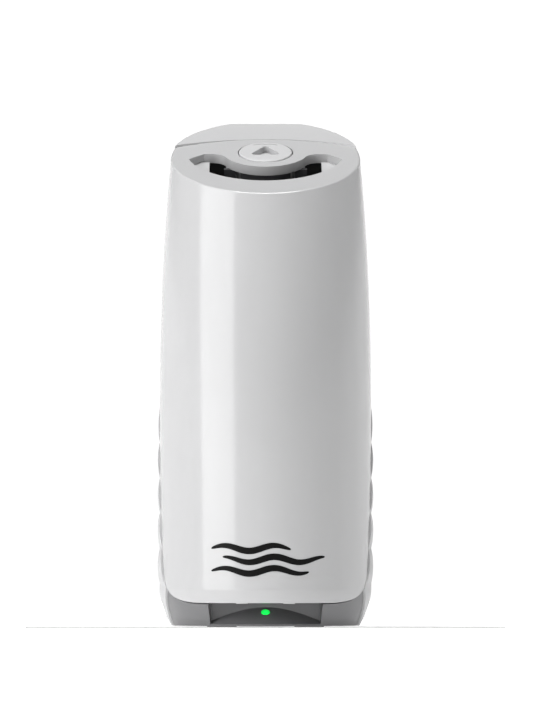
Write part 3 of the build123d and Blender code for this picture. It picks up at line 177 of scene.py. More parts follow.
class Shader:
    """A material and the nodes in it."""

    def __init__(self, name: str) -> None:
        """Start an empty material of this name."""
        self.material = bpy.data.materials.new(name)
        self.material.use_nodes = True
        self.tree = self.material.node_tree
        self.tree.nodes.clear()
        self.coordinates = self.node("TexCoord", {}, {}).outputs["Object"]

    def node(self, kind: str, settings: dict, sockets: dict) -> bpy.types.Node:
        """Add a node.

        Args:
            kind: the node's type without the ShaderNode in front.
            settings: its own settings, which are set first.
            sockets: a value, a socket or a Wire for each input, by name or number.

        Returns:
            The node.
        """
        node = self.tree.nodes.new("ShaderNode" + kind)
        for key, value in settings.items():
            setattr(node, key, value)
        for key, value in sockets.items():
            self._feed(self._input(node, key), value)
        return node

    @staticmethod
    def _input(node: bpy.types.Node, key: str | int) -> bpy.types.NodeSocket:
        """The input with this number, identifier or name."""
        if isinstance(key, int):
            return node.inputs[key]
        return next((i for i in node.inputs if i.identifier == key), None) or node.inputs[key]

    def _feed(self, socket: bpy.types.NodeSocket, value: object) -> None:
        """Link a socket, or set its number or colour.

        Args:
            socket: the input to feed.
            value: a Wire, a socket, a number, or a colour of three parts.
        """
        if isinstance(value, Wire):
            self.tree.links.new(value.socket, socket)
        elif isinstance(value, bpy.types.NodeSocket):
            self.tree.links.new(value, socket)
        elif isinstance(value, tuple) and len(value) == 3 and socket.type == "RGBA":
            socket.default_value = (*value, 1.0)
        else:
            socket.default_value = value

    def placed(self, scale: Colour, turn: Colour = (0.0, 0.0, 0.0)) -> bpy.types.NodeSocket:
        """Object coordinates stretched and turned."""
        sockets = {"Vector": self.coordinates, "Scale": scale, "Rotation": turn}
        return self.node("Mapping", {}, sockets).outputs[0]

    def noise(self, scale: float, detail: float = 2.0, vector: bpy.types.NodeSocket | None = None) -> Wire:
        """Soft noise, 0 to 1, with this many cells to the metre."""
        sockets = {"Vector": vector or self.coordinates, "Scale": scale, "Detail": detail}
        return Wire(self, self.node("TexNoise", {}, sockets).outputs[0])

    def speckle(self, scale: float) -> Wire:
        """Distance from the nearest of many scattered points."""
        sockets = {"Vector": self.coordinates, "Scale": scale}
        return Wire(self, self.node("TexVoronoi", {}, sockets).outputs["Distance"])

    def axis(self, letter: str) -> Wire:
        """The X, Y or Z of a place on the piece, in metres."""
        parts = self.node("SeparateXYZ", {}, {0: self.coordinates})
        return Wire(self, parts.outputs[letter])

    def mixed(self, factor: Wire, first: object, second: object) -> bpy.types.NodeSocket:
        """Mix two colours.

        Args:
            factor: 0 for the first colour, 1 for the second.
            first: a colour or a socket.
            second: a colour or a socket.

        Returns:
            The mixed colour.
        """
        sockets = {"Factor_Float": factor, "A_Color": first, "B_Color": second}
        node = self.node("Mix", {"data_type": "RGBA"}, sockets)
        return next(o for o in node.outputs if o.identifier == "Result_Color")

    def bump(self, height: Wire, depth: float) -> bpy.types.NodeSocket:
        """Normals from a height of 0 to 1 that stands for depth in metres."""
        return self.node("Bump", {}, {"Height": height, "Distance": depth}).outputs[0]

    def finish(self, sockets: dict) -> bpy.types.Material:
        """Close the material with one Principled shader and return it."""
        body = self.node("BsdfPrincipled", {}, sockets)
        self.node("OutputMaterial", {}, {"Surface": body.outputs[0]})
        return self.material


def shade(colour: Colour, share: float) -> Colour:
    """A colour made lighter or darker by a share of itself."""
    return tuple(min(1.0, part * share) for part in colour)


# ---------------------------------------------------------------- finishes
@dataclass(frozen=True)
class Moulded:
    """Injection-moulded plastic: flow clouds, a fine grain and a few polished rubs."""

    name: str
    colour: Colour
    roughness: float
    grain: float = 0.00035  # size of the grain, in metres
    depth: float = 0.000012
    clouds: float = 0.03
    coat: float = 0.0

    def make(self) -> bpy.types.Material:
        """The material."""
        shader = Shader(self.name)
        cloud = shader.noise(28.0, 3.0)
        grain = shader.noise(1.0 / self.grain, 3.0)
        rub = shader.noise(160.0, 4.0, shader.placed((1.0, 1.0, 0.25))).over(0.58, 0.78)
        dark, light = shade(self.colour, 1.0 - self.clouds), shade(self.colour, 1.0 + self.clouds)
        colour = shader.mixed(cloud, dark, light)
        return shader.finish({
            "Base Color": colour,
            "Roughness": self.roughness * (0.92 + cloud * 0.16) - rub * (0.10 * self.roughness),
            "Normal": shader.bump(grain, self.depth),
            "Coat Weight": self.coat,
            "Coat Roughness": 0.06,
        })


@dataclass(frozen=True)
class Plated:
    """Metal with drawing lines along one axis and a little tarnish."""

    name: str
    colour: Colour
    roughness: float
    along: Colour = (1.0, 1.0, 0.06)
    lines: float = 2600.0

    def make(self) -> bpy.types.Material:
        """The material."""
        shader = Shader(self.name)
        line = shader.noise(self.lines, 2.0, shader.placed(self.along))
        stain = shader.noise(240.0, 4.0).over(0.5, 0.8)
        return shader.finish({
            "Base Color": shader.mixed(stain, self.colour, shade(self.colour, 0.72)),
            "Metallic": 1.0,
            "Roughness": self.roughness + line * 0.10 + stain * 0.12,
            "Normal": shader.bump(line, 0.000006),
        })


@dataclass(frozen=True)
class Sleeved:
    """A can in a printed sleeve, with bare metal above and below it."""

    name: str
    colour: Colour
    band: Colour
    low: float
    high: float
    band_low: float
    band_high: float

    def make(self) -> bpy.types.Material:
        """The material."""
        shader = Shader(self.name)
        height = shader.axis("Z")
        sleeve = (height > self.low) * (height < self.high)
        band = (height > self.band_low) * (height < self.band_high)
        scuff = shader.noise(420.0, 4.0).over(0.55, 0.8)
        printed = shader.mixed(band, self.colour, self.band)
        worn = shader.mixed(scuff * 0.35, printed, shade(self.colour, 1.8))
        steel = (0.62, 0.62, 0.60)
        return shader.finish({
            "Base Color": shader.mixed(sleeve, steel, worn),
            "Metallic": 1.0 - sleeve,
            "Roughness": 0.24 + scuff * 0.16,
            "Normal": shader.bump(shader.noise(1500.0, 2.0) + sleeve * 2.0, 0.00001),
        })


@dataclass(frozen=True)
class Laminate:
    """Circuit board: green mask over copper runs, with tinned spots."""

    name: str
    mask: Colour = (0.012, 0.105, 0.040)

    def make(self) -> bpy.types.Material:
        """The material."""
        shader = Shader(self.name)
        settings = {"wave_type": "BANDS", "bands_direction": "X"}
        sockets = {"Vector": shader.coordinates, "Scale": 260.0, "Distortion": 3.0, "Detail": 0.0}
        runs = Wire(shader, shader.node("TexWave", settings, sockets).outputs["Fac"]).over(0.46, 0.54)
        tinned = shader.speckle(330.0) < 0.16
        green = shader.mixed(runs, self.mask, shade(self.mask, 1.9))
        return shader.finish({
            "Base Color": shader.mixed(tinned, green, (0.66, 0.66, 0.64)),
            "Metallic": tinned,
            "Roughness": 0.30 - tinned * 0.08 + shader.noise(900.0) * 0.06,
            "Normal": shader.bump(runs * 0.6 + tinned, 0.00003),
        })


@dataclass(frozen=True)
class Frosted:
    """Translucent blow-moulded bottle."""

    name: str
    colour: Colour = (0.86, 0.90, 0.93)

    def make(self) -> bpy.types.Material:
        """The material."""
        shader = Shader(self.name)
        ripple = shader.noise(260.0, 3.0, shader.placed((1.0, 1.0, 0.3)))
        frost = shader.noise(3200.0, 2.0)
        return shader.finish({
            "Base Color": shader.mixed(ripple, self.colour, shade(self.colour, 0.93)),
            "Roughness": 0.26 + frost * 0.12,
            "Normal": shader.bump(ripple * 0.7 + frost * 0.3, 0.00003),
            "Transmission Weight": 0.62,
            "IOR": 1.5,
        })


@dataclass(frozen=True)
class Felt:
    """Pressed fibre."""

    name: str
    colour: Colour = (0.80, 0.78, 0.70)

    def make(self) -> bpy.types.Material:
        """The material."""
        shader = Shader(self.name)
        fibre = shader.noise(2400.0, 6.0, shader.placed((1.0, 0.22, 0.6), (0.3, 0.2, 0.6)))
        cross = shader.noise(2400.0, 6.0, shader.placed((0.22, 1.0, 0.6), (0.1, 0.4, 0.2)))
        both = (fibre + cross) * 0.5
        return shader.finish({
            "Base Color": shader.mixed(both.over(0.3, 0.7), shade(self.colour, 0.72), self.colour),
            "Roughness": 0.84 + both * 0.14,
            "Normal": shader.bump(both, 0.00018),
            "Sheen Weight": 0.3,
        })


@dataclass(frozen=True)
class Lit:
    """Clear plastic lit from behind, brightest at the middle of its face."""

    name: str
    colour: Colour
    centre: Colour
    radius: float
    strength: float

    def make(self) -> bpy.types.Material:
        """The material."""
        shader = Shader(self.name)
        across = shader.axis("X") - self.centre[0]
        up = shader.axis("Z") - self.centre[2]
        away = (across * across + up * up) ** 0.5 / self.radius
        glow = shader.mixed(away.over(0.35, 1.25), self.colour, shade(self.colour, 0.55))
        return shader.finish({
            "Base Color": glow,
            "Roughness": 0.16 + shader.noise(2000.0) * 0.08,
            "Normal": shader.bump(shader.noise(900.0), 0.00001),
            "Emission Color": glow,
            "Emission Strength": self.strength,
        })


@dataclass(frozen=True)
class Ink:
    """Pad-printed ink, a little uneven where it is thin."""

    name: str
    colour: Colour = (0.004, 0.004, 0.004)

    def make(self) -> bpy.types.Material:
        """The material."""
        shader = Shader(self.name)
        thin = shader.noise(1300.0, 4.0).over(0.55, 0.85)
        return shader.finish({
            "Base Color": shader.mixed(thin, self.colour, shade(self.colour, 2.4)),
            "Roughness": 0.42 + thin * 0.14,
            "IOR": 1.2,
            "Normal": shader.bump(shader.noise(4200.0), 0.000005),
        })


Finish = Moulded | Plated | Sleeved | Laminate | Frosted | Felt | Lit


# ---------------------------------------------------------------- mesh tools
def piece(name: str, mesh: bmesh.types.BMesh, body: str, material: bpy.types.Material,
          smooth: bool = False) -> bpy.types.Object:
    """Turn a finished mesh into a piece that rides on a body.

    Args:
        name: the piece's name.
        mesh: its mesh, in the row frame.
        body: the body that carries it.
        material: its finish.
        smooth: whether its faces are shaded smooth.

    Returns:
        The new object.
    """
    bmesh.ops.recalc_face_normals(mesh, faces=mesh.faces[:])
    data = bpy.data.meshes.new(name)
    for face in mesh.faces:
        face.smooth = smooth
    mesh.to_mesh(data)
    mesh.free()
    data.materials.append(material)
    made = bpy.data.objects.new(name, data)
    bpy.context.scene.collection.objects.link(made)
    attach(made, body)
    LOG.info("piece %s on %s, %d faces", name, body, len(data.polygons))
    return made


def add_block(mesh: bmesh.types.BMesh, centre: Vector, size: Vector, round_by: float) -> None:
    """Add a box with rounded edges to a mesh.

    Args:
        mesh: the mesh to add to.
        centre: the middle of the box.
        size: its three sides.
        round_by: how much its edges are rounded.
    """
    made = bmesh.ops.create_cube(mesh, size=1.0)["verts"]
    bmesh.ops.scale(mesh, vec=size, verts=made)
    bmesh.ops.translate(mesh, vec=centre, verts=made)
    edges = list({edge for vert in made for edge in vert.link_edges})
    bmesh.ops.bevel(mesh, geom=edges, offset=round_by, segments=2, affect="EDGES", profile=0.5, material=-1)


def add_ribbon(mesh: bmesh.types.BMesh, line: list[Vector], widths: list[float]) -> None:
    """Add a flat ribbon facing -Y, pulled out step by step along a line.

    Args:
        mesh: the mesh to add to.
        line: points in the XZ plane, at least two.
        widths: the ribbon's width at each point.
    """
    def ends(number: int) -> tuple[Vector, Vector]:
        """The ribbon's two sides at a point of the line."""
        ahead = line[min(number + 1, len(line) - 1)] - line[max(number - 1, 0)]
        across = Vector((-ahead.z, 0.0, ahead.x)).normalized() * widths[number] / 2
        return line[number] + across, line[number] - across

    first, second = (mesh.verts.new(place) for place in ends(0))
    edge = mesh.edges.new((first, second))
    for number in range(1, len(line)):
        made = bmesh.ops.extrude_edge_only(mesh, edges=[edge])["geom"]
        edge = next(item for item in made if isinstance(item, bmesh.types.BMEdge))
        top, low = ends(number)
        near = sorted(edge.verts, key=lambda vert: (vert.co - top).length)
        near[0].co, near[1].co = top, low


class Surface:
    """The outside of a CAD node, to lay marks on."""

    def __init__(self, node: bpy.types.Object) -> None:
        """Read the node's mesh."""
        data = node.data
        self.tree = BVHTree.FromPolygons([v.co for v in data.vertices], [p.vertices for p in data.polygons])

    def lay(self, mesh: bmesh.types.BMesh, lift: float, thickness: float) -> None:
        """Drop a flat mesh on to the surface along +Y and give it a thickness.

        Args:
            mesh: the flat mesh, drawn in XZ.
            lift: how far its back sinks below the surface, in metres.
            thickness: its full thickness.
        """
        ahead = Vector((0.0, 1.0, 0.0))
        for vert in mesh.verts:
            start = Vector((vert.co.x, RAY_START_Y, vert.co.z))
            hit = self.tree.ray_cast(start, ahead)[0]
            if hit is not None:
                vert.co.y = hit.y + lift
        top = mesh.faces[:]
        made = bmesh.ops.extrude_face_region(mesh, geom=top)["geom"]
        raised = [item for item in made if isinstance(item, bmesh.types.BMVert)]
        bmesh.ops.translate(mesh, vec=Vector((0.0, -thickness, 0.0)), verts=raised)


def node_box(name: str) -> tuple[Vector, Vector]:
    """Corners of a CAD node at rest."""
    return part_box(name)


class Palette(Enum):
    """Base colours of the finishes, as linear light."""

    COVER = (0.49, 0.49, 0.495)
    HOUSING = (0.51, 0.51, 0.515)
    BUTTON = (0.53, 0.53, 0.535)
    PLINTH = (0.150, 0.150, 0.154)
    PLATE = (0.17, 0.17, 0.175)
    BLACK = (0.016, 0.016, 0.017)
    DARK = (0.045, 0.045, 0.048)
    DOOR = (0.060, 0.060, 0.064)
    RUBBER = (0.022, 0.022, 0.022)
    NATURAL = (0.74, 0.72, 0.66)
    WHITE = (0.78, 0.78, 0.76)
    STEEL = (0.56, 0.56, 0.57)
    NICKEL = (0.66, 0.65, 0.62)
    BRASS = (0.62, 0.44, 0.16)
    GREEN = (0.010, 0.94, 0.105)
    RED = (0.44, 0.012, 0.010)
    BLUE = (0.012, 0.045, 0.30)
    GREY = (0.12, 0.12, 0.125)


@dataclass
class SubAssembly:
    """Something with its own finishes and pieces."""

    nodes: dict[str, bpy.types.Object]

    def dress(self, finishes: "dict[str, Finish]") -> None:
        """Give CAD nodes their finishes.

        Args:
            finishes: a finish for each node's name. One of the same name is made once.
        """
        ready: dict[str, bpy.types.Material] = {}
        for name, finish in finishes.items():
            if finish.name not in ready:
                ready[finish.name] = finish.make()
            node = self.nodes[name]
            if not node.material_slots:
                node.data.materials.append(ready[finish.name])
            for slot in node.material_slots:
                slot.material = ready[finish.name]
            LOG.info("finish %s on %s", finish.name, name)


@dataclass
class Casing(SubAssembly):
    """Cover, housing, plinth and what shows on them."""

    mark_left: float = -18.7 * MM
    mark_right: float = 20.5 * MM
    mark_low: float = 19.6 * MM
    mark_pitch: float = 3.9 * MM
    stroke: float = 2.3 * MM
    waves: tuple[tuple[float, float], ...] = ((0.0, 0.86), (0.10, 1.0), (0.0, 0.70))
    wave_height: float = 0.95 * MM
    steps: int = 96

    def build(self) -> None:
        """Dress the nodes and print the mark."""
        pipe_low, pipe_high = node_box("light_pipe")
        pipe_face = (pipe_low + pipe_high) / 2
        cover = Moulded("cover_gloss", Palette.COVER.value, 0.17, 0.0011, 0.000004, 0.012, 0.15)
        housing = Moulded("housing_satin", Palette.HOUSING.value, 0.40, 0.00032, 0.000014, 0.02)
        button = Moulded("button_satin", Palette.BUTTON.value, 0.30, 0.0003, 0.000010, 0.015)
        plinth = Moulded("plinth_satin", Palette.PLINTH.value, 0.36, 0.00034, 0.000014, 0.03)
        plate = Moulded("plate_matt", Palette.PLATE.value, 0.52, 0.0004, 0.000022, 0.04)
        rubber = Moulded("rubber_feet", Palette.RUBBER.value, 0.72, 0.0006, 0.00003, 0.08)
        lens = Lit("lamp_lens", Palette.GREEN.value, tuple(pipe_face), 1.5 * MM, 1.0)
        lamp = Lit("lamp_body", Palette.GREEN.value, tuple(pipe_face), 1.9 * MM, 0.5)
        steel = Plated("steel_pin", Palette.STEEL.value, 0.22, (0.06, 1.0, 1.0))
        self.dress({
            "front_cover": cover, "rear_housing": housing, "release_button": button, "plinth": plinth,
            "bottom_plate": plate, "rubber_feet": rubber, "light_pipe": lens, "status_led": lamp,
            "hinge_pin": steel,
        })
        self.print_mark()

    def print_mark(self) -> None:
        """Three air-flow strokes, printed low on the cover."""
        mesh = bmesh.new()
        span = self.mark_right - self.mark_left
        for number, (start, stop) in enumerate(self.waves):
            line, widths = [], []
            for step in range(self.steps + 1):
                share = start + (stop - start) * step / self.steps
                x = self.mark_left + span * share
                z = self.mark_low + number * self.mark_pitch + self.wave_height * sin(share * 4.5 * pi)
                line.append(Vector((x, 0.0, z)))
                widths.append(self.stroke * (0.12 + 0.88 * sin(pi * step / self.steps) ** 0.45))
            add_ribbon(mesh, line, widths)
        Surface(self.nodes["front_cover"]).lay(mesh, 0.03 * MM, 0.08 * MM)
        piece("printed_air_mark", mesh, "cover", Ink("print_black").make())


@dataclass
class Latch(SubAssembly):
    """Button spring, bracket, rocker and their pins."""

    def build(self) -> None:
        """Dress the nodes."""
        bracket = Moulded("bracket_dark", Palette.DARK.value, 0.42, 0.0004, 0.00002, 0.05)
        rocker = Moulded("rocker_dark", Palette.DARK.value, 0.34, 0.0004, 0.00002, 0.05)
        spring = Plated("spring_wire", Palette.NICKEL.value, 0.20)
        pin = Plated("latch_steel", Palette.STEEL.value, 0.22, (0.06, 1.0, 1.0))
        self.dress({
            "latch_bracket": bracket, "latch_rocker": rocker, "button_spring": spring, "latch_pin": pin,
            "bracket_screws": pin,
        })
        self.squeeze_spring()

    def squeeze_spring(self) -> None:
        """Give the button's spring a mesh of its own."""
        spring = self.nodes["button_spring"]
        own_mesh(spring)


@dataclass
class Carrier(SubAssembly):
    """Inner frame with its battery door, cells, switches and their marks."""

    mark_depth: float = 0.10 * MM
    cell_mark_height: float = 17.0 * MM
    cell_mark_width: float = 6.4 * MM
    line: float = 0.55 * MM
    nub_half: float = 1.1 * MM
    sign_half: float = 1.4 * MM
    sign_inset: float = 3.2 * MM

    def build(self) -> None:
        """Dress the nodes, then raise the marks."""
        carrier = Moulded("carrier_black", Palette.BLACK.value, 0.46, 0.0004, 0.00002, 0.06)
        clips = Moulded("clips_dark", Palette.DARK.value, 0.40, 0.0004, 0.00002, 0.05)
        door = Moulded("door_dark", Palette.DOOR.value, 0.44, 0.0004, 0.000024, 0.05)
        natural = Moulded("switch_natural", Palette.NATURAL.value, 0.38, 0.0005, 0.00001, 0.04)
        switch = Moulded("switch_black", Palette.BLACK.value, 0.34, 0.0004, 0.00001, 0.05)
        spring = Plated("contact_nickel", Palette.NICKEL.value, 0.22, (1.0, 0.08, 1.0))
        steel = Plated("screw_steel", Palette.STEEL.value, 0.26, (1.0, 0.1, 1.0))
        finishes = {
            "carrier": carrier, "retaining_clips": clips, "battery_door": door, "battery_springs": spring,
            "battery_contacts": spring, "contact_bridge": spring, "duration_slider": natural,
            "test_button": natural, "switch_housings": switch, "switch_board": Laminate("switch_laminate"),
            "carrier_screws": steel, "deck_screws": steel, "switch_screws": steel,
        }
        for name, up in (("cell_left", True), ("cell_right", False)):
            finishes[name] = self.cell_finish(name, up)
        self.dress(finishes)
        self.raise_cell_marks()
        self.print_duration_marks()

    @staticmethod
    def cell_finish(name: str, up: bool) -> Sleeved:
        """Work out where a cell's sleeve and its band lie.

        Args:
            name: the cell's node.
            up: whether its plus end points up.

        Returns:
            The sleeve's finish.
        """
        low, high = node_box(name)
        nub = 1.3 * MM
        foot, head = (low.z, high.z - nub) if up else (low.z + nub, high.z)
        band = 10.0 * MM
        band_low = head - band if up else foot + 1.0 * MM
        return Sleeved(name + "_sleeve", (0.020, 0.034, 0.038), (0.52, 0.54, 0.53),
                       foot + 1.0 * MM, head - 1.0 * MM, band_low, band_low + band - 1.0 * MM)

    def raise_cell_marks(self) -> None:
        """Outlines of the two cells with their plus ends, on the door."""
        low, high = node_box("battery_door")
        mesh = bmesh.new()
        middle = low.z + (high.z - low.z) * 0.40
        half_w, half_h = self.cell_mark_width / 2, self.cell_mark_height / 2
        for side, turn in ((-1, 1), (1, -1)):
            x = side * (high.x - low.x) * 0.235
            corners = [(-half_w, -half_h), (half_w, -half_h), (half_w, half_h), (-half_w, half_h)]
            frame = [Vector((x + a, 0.0, middle + b)) for a, b in corners]
            for first, second in zip(frame, frame[1:] + frame[:1]):
                add_ribbon(mesh, [first, (first + second) / 2, second], [self.line] * 3)
            self.bar(mesh, x, middle + turn * (half_h + 0.9 * MM), self.nub_half, 1.1 * MM)
            sign = middle + turn * (half_h - self.sign_inset)
            self.bar(mesh, x, sign, self.sign_half, self.line)
            for reach in (-1, 1):
                start = Vector((x, 0, sign + reach * self.line / 2))
                add_ribbon(mesh, [start, Vector((x, 0, sign + reach * self.sign_half))], [self.line] * 2)
            self.bar(mesh, x, middle - turn * (half_h - self.sign_inset), self.sign_half, self.line)
        Surface(self.nodes["battery_door"]).lay(mesh, 0.04 * MM, self.mark_depth + 0.04 * MM)
        finish = Moulded("raised_marks", (0.30, 0.30, 0.31), 0.45, 0.0004, 0.00001, 0.04)
        piece("cell_marks", mesh, "base", finish.make())

    @staticmethod
    def bar(mesh: bmesh.types.BMesh, x: float, z: float, half: float, width: float) -> None:
        """Add a level bar, reaching half to each side of x."""
        add_ribbon(mesh, [Vector((x - half, 0, z)), Vector((x + half, 0, z))], [width] * 2)

    def print_duration_marks(self) -> None:
        """One, two and three bars beside the slider."""
        low, high = node_box("duration_slider")
        middle = (low.z + high.z) / 2
        mesh = bmesh.new()
        for level, count in ((-1, 1), (0, 2), (1, 3)):
            z = middle + level * LEVEL_PITCH
            for number in range(count):
                x = low.x - (1.1 + 0.9 * number) * MM
                line = [Vector((x, 0, z - 0.6 * MM)), Vector((x, 0, z + 0.6 * MM))]
                add_ribbon(mesh, line, [0.45 * MM] * 2)
        Surface(self.nodes["carrier"]).lay(mesh, 0.02 * MM, 0.06 * MM)
        piece("duration_marks", mesh, "base", Ink("print_white", (0.62, 0.62, 0.60)).make())


@dataclass
class Cartridge(SubAssembly):
    """Cartridge with its oxygen cell, bottle, piston, pad and cap."""

    tick: float = 0.30 * MM
    ticks: int = 8

    def build(self) -> None:
        """Dress the nodes and print the level scale."""
        black = Moulded("cartridge_black", Palette.BLACK.value, 0.36, 0.0004, 0.000016, 0.05)
        self.dress({
            "cartridge_base": black, "cartridge_cap": black, "cartridge_bottle": Frosted("bottle_frosted"),
            "piston": Moulded("piston_white", Palette.WHITE.value, 0.34, 0.0005, 0.00001, 0.03),
            "piston_seal": Moulded("seal_rubber", Palette.RUBBER.value, 0.6, 0.0006, 0.00003, 0.08),
            "metering_nozzle": Moulded("nozzle_natural", Palette.NATURAL.value, 0.4, 0.0005, 0.00001, 0.04),
            "emanator_pad": Felt("pad_felt"),
            "oxygen_cell": Plated("cell_can_steel", Palette.STEEL.value, 0.24, (1.0, 0.1, 1.0)),
            "cell_contacts": Plated("contact_brass", Palette.BRASS.value, 0.24, (1.0, 0.1, 1.0)),
        })
        self.print_scale()

    def print_scale(self) -> None:
        """Level ticks down the front of the bottle."""
        cap_low = node_box("cartridge_cap")[0].z
        base_high = node_box("cartridge_base")[1].z
        room = cap_low - base_high
        mesh = bmesh.new()
        for number in range(self.ticks):
            z = base_high + room * (number + 1) / (self.ticks + 1)
            long = (3.4 if number % 2 else 2.0) * MM
            line = [Vector((-8.0 * MM + long * step / 6, 0, z)) for step in range(7)]
            add_ribbon(mesh, line, [self.tick] * 7)
        Surface(self.nodes["cartridge_bottle"]).lay(mesh, 0.02 * MM, 0.06 * MM)
        piece("level_scale", mesh, "base", Ink("print_grey", (0.05, 0.06, 0.07)).make())


@dataclass
class Electronics(SubAssembly):
    """Control board, its parts, sockets and leads."""

    chip: Vector = field(default_factory=lambda: Vector((1.6, 0.9, 0.5)) * MM)
    places: tuple[tuple[float, float, float], ...] = (
        (-9.0, 8.0, 0.0), (-6.2, 8.0, 0.0), (-3.4, 8.0, 90.0), (8.2, 9.4, 0.0), (8.2, 11.4, 0.0),
        (-11.0, 14.0, 90.0), (-11.0, 17.5, 90.0), (-8.0, 20.0, 0.0), (5.5, 22.6, 0.0), (8.6, 22.6, 0.0),
    )  # across, back from the board's front edge, turn

    def build(self) -> None:
        """Dress the nodes and solder the chips on."""
        low, high = node_box("capacitors")
        can = Sleeved("capacitor_sleeve", (0.012, 0.016, 0.045), (0.40, 0.42, 0.46),
                      low.z + 0.3 * MM, high.z - 0.5 * MM, high.z - 1.6 * MM, high.z - 1.1 * MM)
        steel = Plated("small_screw_steel", Palette.STEEL.value, 0.26, (1.0, 0.1, 1.0))
        self.dress({
            "control_board": Laminate("board_laminate"), "capacitors": can,
            "microcontroller": Moulded("chip_black", Palette.BLACK.value, 0.5, 0.0002, 0.000012, 0.08),
            "connectors": Moulded("socket_natural", Palette.NATURAL.value, 0.36, 0.0005, 0.00001, 0.04),
            "lead_red": self.sleeve("lead_red", Palette.RED),
            "lead_black": self.sleeve("lead_black", Palette.RUBBER),
            "cell_lead_blue": self.sleeve("lead_blue", Palette.BLUE),
            "cell_lead_white": self.sleeve("lead_white", Palette.WHITE),
            "switch_lead": self.sleeve("lead_grey", Palette.GREY),
            "board_screws": steel, "bottom_screws": steel,
        })
        self.solder_chips()

    @staticmethod
    def sleeve(name: str, colour: Palette) -> Moulded:
        """The insulation of a lead."""
        return Moulded(name, colour.value, 0.38, 0.0006, 0.00001, 0.05)

    def solder_chips(self) -> None:
        """Small chips with tinned ends on the board's upper face."""
        low, high = node_box("control_board")
        bodies, ends = bmesh.new(), bmesh.new()
        for across, back, turn in self.places:
            centre = Vector((across * MM, low.y + back * MM, high.z + self.chip.z / 2))
            along = Matrix.Rotation(radians(turn), 3, "Z") @ Vector((1.0, 0.0, 0.0))
            size = self.chip if turn == 0.0 else Vector((self.chip.y, self.chip.x, self.chip.z))
            add_block(bodies, centre, size, 0.06 * MM)
            flat, tall = abs(along.x), abs(along.y)
            cap = Vector((flat * 0.35 + tall * 0.96, tall * 0.35 + flat * 0.96, 0.56))
            for reach in (-1, 1):
                place = centre + along * reach * (self.chip.x / 2 - 0.12 * MM)
                add_block(ends, place, cap * MM, 0.05 * MM)
        chip = Moulded("chip_ceramic", (0.10, 0.085, 0.06), 0.5, 0.0002, 0.00001, 0.1)
        piece("board_chips", bodies, "base", chip.make())
        piece("chip_ends", ends, "base", Plated("solder_tin", Palette.NICKEL.value, 0.26).make())


# ---------------------------------------------------------------- studio
@dataclass(frozen=True)
class Panel:
    """A soft light panel aimed at the object."""

    name: str
    turn: float  # degrees from straight in front, towards the right
    height: float
    distance: float
    width: float
    tall: float
    watts: float
    aim: float = 0.09

    def make(self) -> None:
        """Add the light."""
        data = bpy.data.lights.new(self.name, "AREA")
        data.shape = "RECTANGLE"
        data.size, data.size_y = self.width, self.tall
        data.energy = self.watts
        lamp = bpy.data.objects.new(self.name, data)
        bpy.context.scene.collection.objects.link(lamp)
        angle = radians(self.turn)
        lamp.location = (sin(angle) * self.distance, -cos(angle) * self.distance, self.height)
        ahead = Vector((0.0, 0.0, self.aim)) - lamp.location
        lamp.rotation_euler = ahead.to_track_quat("-Z", "Y").to_euler()


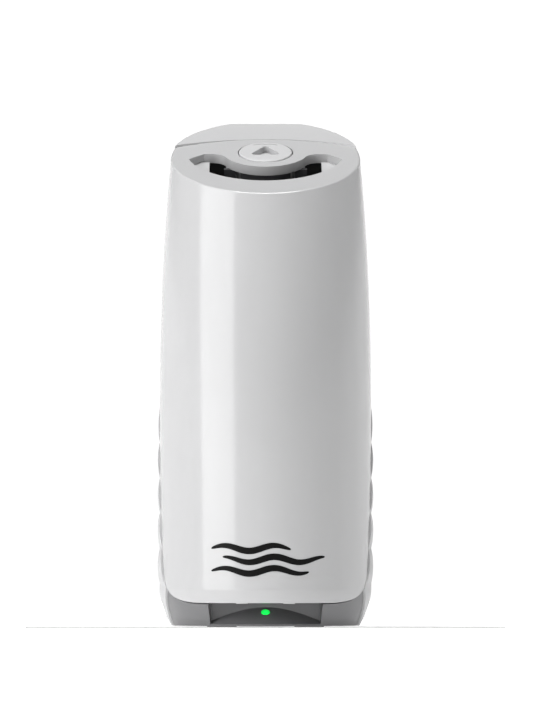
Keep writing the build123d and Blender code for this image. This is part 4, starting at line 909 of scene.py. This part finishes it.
@dataclass
class Studio:
    """Floor, surroundings, lights and camera."""

    eye: Vector = field(default_factory=lambda: Vector((0.0, -3.0, 0.020)))
    aim: Vector = field(default_factory=lambda: Vector((0.00035, 0.0, 0.0948)))
    lens: float = 435.0
    floor_half: float = 2.4
    sky: float = 0.05
    horizon: float = 1.05
    panels: tuple[Panel, ...] = (
        Panel("key_left", -57.0, 0.24, 1.0, 0.76, 1.5, 13.0),
        Panel("fill_right", 116.0, 0.30, 1.0, 0.8, 1.2, 0.5),
        Panel("top", 0.0, 1.2, 0.10, 0.5, 0.5, 12.5),
    )

    def build(self) -> None:
        """Make the whole studio."""
        self.make_camera()
        self.make_floor()
        self.make_surroundings()
        for panel in self.panels:
            panel.make()
            LOG.info("light %s", panel.name)
        bpy.context.scene.view_settings.view_transform = "Standard"
        bpy.context.scene.view_settings.look = "None"

    def make_camera(self) -> None:
        """A long lens, low, looking slightly up."""
        data = bpy.data.cameras.new("camera")
        data.lens = self.lens
        data.sensor_width = 36.0
        data.clip_end = 20.0
        camera = bpy.data.objects.new("camera", data)
        bpy.context.scene.collection.objects.link(camera)
        camera.location = self.eye
        camera.rotation_euler = (self.aim - self.eye).to_track_quat("-Z", "Y").to_euler()
        bpy.context.scene.camera = camera

    def make_floor(self) -> None:
        """A pale sheet with a painted glow that is weaker near the object, and a thin grey strip across it in
        front of the object's foot.
        """
        mesh = bmesh.new()
        bmesh.ops.create_grid(mesh, x_segments=4, y_segments=4, size=self.floor_half)
        shader = Shader("floor_pale")
        cloud = shader.noise(3.0, 2.0)
        pale = shader.mixed(cloud, (0.80, 0.80, 0.80), (0.83, 0.83, 0.83))
        # painted light and shade: the floor glows, weaker within half a metre of the object (a painted darker
        # zone that also lights the object's base less) and stronger further out
        across, back = shader.axis("X"), shader.axis("Y")
        away = (across * across + back * back) ** 0.5
        glow = shader.mixed(away.over(0.5, 1.3), (0.40, 0.40, 0.40), (0.84, 0.84, 0.84))
        sheet = shader.finish({"Base Color": pale, "Roughness": 0.7, "Emission Color": glow,
                               "Emission Strength": 1.25})
        self.stage("floor", mesh, sheet)
        # a thin grey strip, 165 mm wide, lying across the floor just in front of the object's foot
        line = bmesh.new()
        add_block(line, Vector((0.0, -0.0375, 0.00018)), Vector((0.1655, 0.0003, 0.00036)), 0.00005)
        grey = Shader("floor_line")
        tone = grey.mixed(grey.noise(60.0), (0.40, 0.40, 0.40), (0.50, 0.50, 0.50))
        self.stage("floor_line", line, grey.finish({"Base Color": tone, "Roughness": 0.7}))

    @staticmethod
    def stage(name: str, mesh: bmesh.types.BMesh, material: bpy.types.Material) -> None:
        """Add something that isn't part of the object.

        Args:
            name: its name.
            mesh: its mesh.
            material: its material.
        """
        data = bpy.data.meshes.new(name)
        mesh.to_mesh(data)
        mesh.free()
        data.materials.append(material)
        made = bpy.data.objects.new(name, data)
        bpy.context.scene.collection.objects.link(made)
        made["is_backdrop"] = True

    def make_surroundings(self) -> None:
        """White along the horizon and dimmer above and below it."""
        world = bpy.data.worlds.new("studio")
        bpy.context.scene.world = world
        world.use_nodes = True
        tree = world.node_tree
        tree.nodes.clear()
        place = tree.nodes.new("ShaderNodeTexCoord")
        parts = tree.nodes.new("ShaderNodeSeparateXYZ")
        ramp = tree.nodes.new("ShaderNodeMapRange")
        size = tree.nodes.new("ShaderNodeMath")
        light = tree.nodes.new("ShaderNodeBackground")
        out = tree.nodes.new("ShaderNodeOutputWorld")
        size.operation = "ABSOLUTE"
        spread = {"From Min": 0.075, "From Max": 0.115, "To Min": self.horizon, "To Max": self.sky}
        for key, value in spread.items():
            ramp.inputs[key].default_value = value
        tree.links.new(place.outputs["Generated"], parts.inputs[0])
        tree.links.new(parts.outputs["Z"], size.inputs[0])
        tree.links.new(size.outputs[0], ramp.inputs["Value"])
        tree.links.new(ramp.outputs[0], light.inputs["Strength"])
        light.inputs["Color"].default_value = (1.0, 1.0, 1.0, 1.0)
        tree.links.new(light.outputs[0], out.inputs[0])


def corners(box: tuple[Vector, Vector]) -> list[list[float]]:
    """A box as plain lists of numbers."""
    return [list(corner) for corner in box]


def main() -> None:
    """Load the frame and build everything."""
    logging.basicConfig(level=logging.INFO, format="%(name)s: %(message)s")
    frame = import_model()
    cad_box = corners(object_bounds())
    nodes = frame["nodes"]
    Studio().build()
    for part in (Casing, Latch, Carrier, Cartridge, Electronics):
        part(nodes).build()
        LOG.info("built %s", part.__name__)
    {"cad": cad_box, "visual": corners(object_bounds())}


if __name__ == "__main__":
    main()
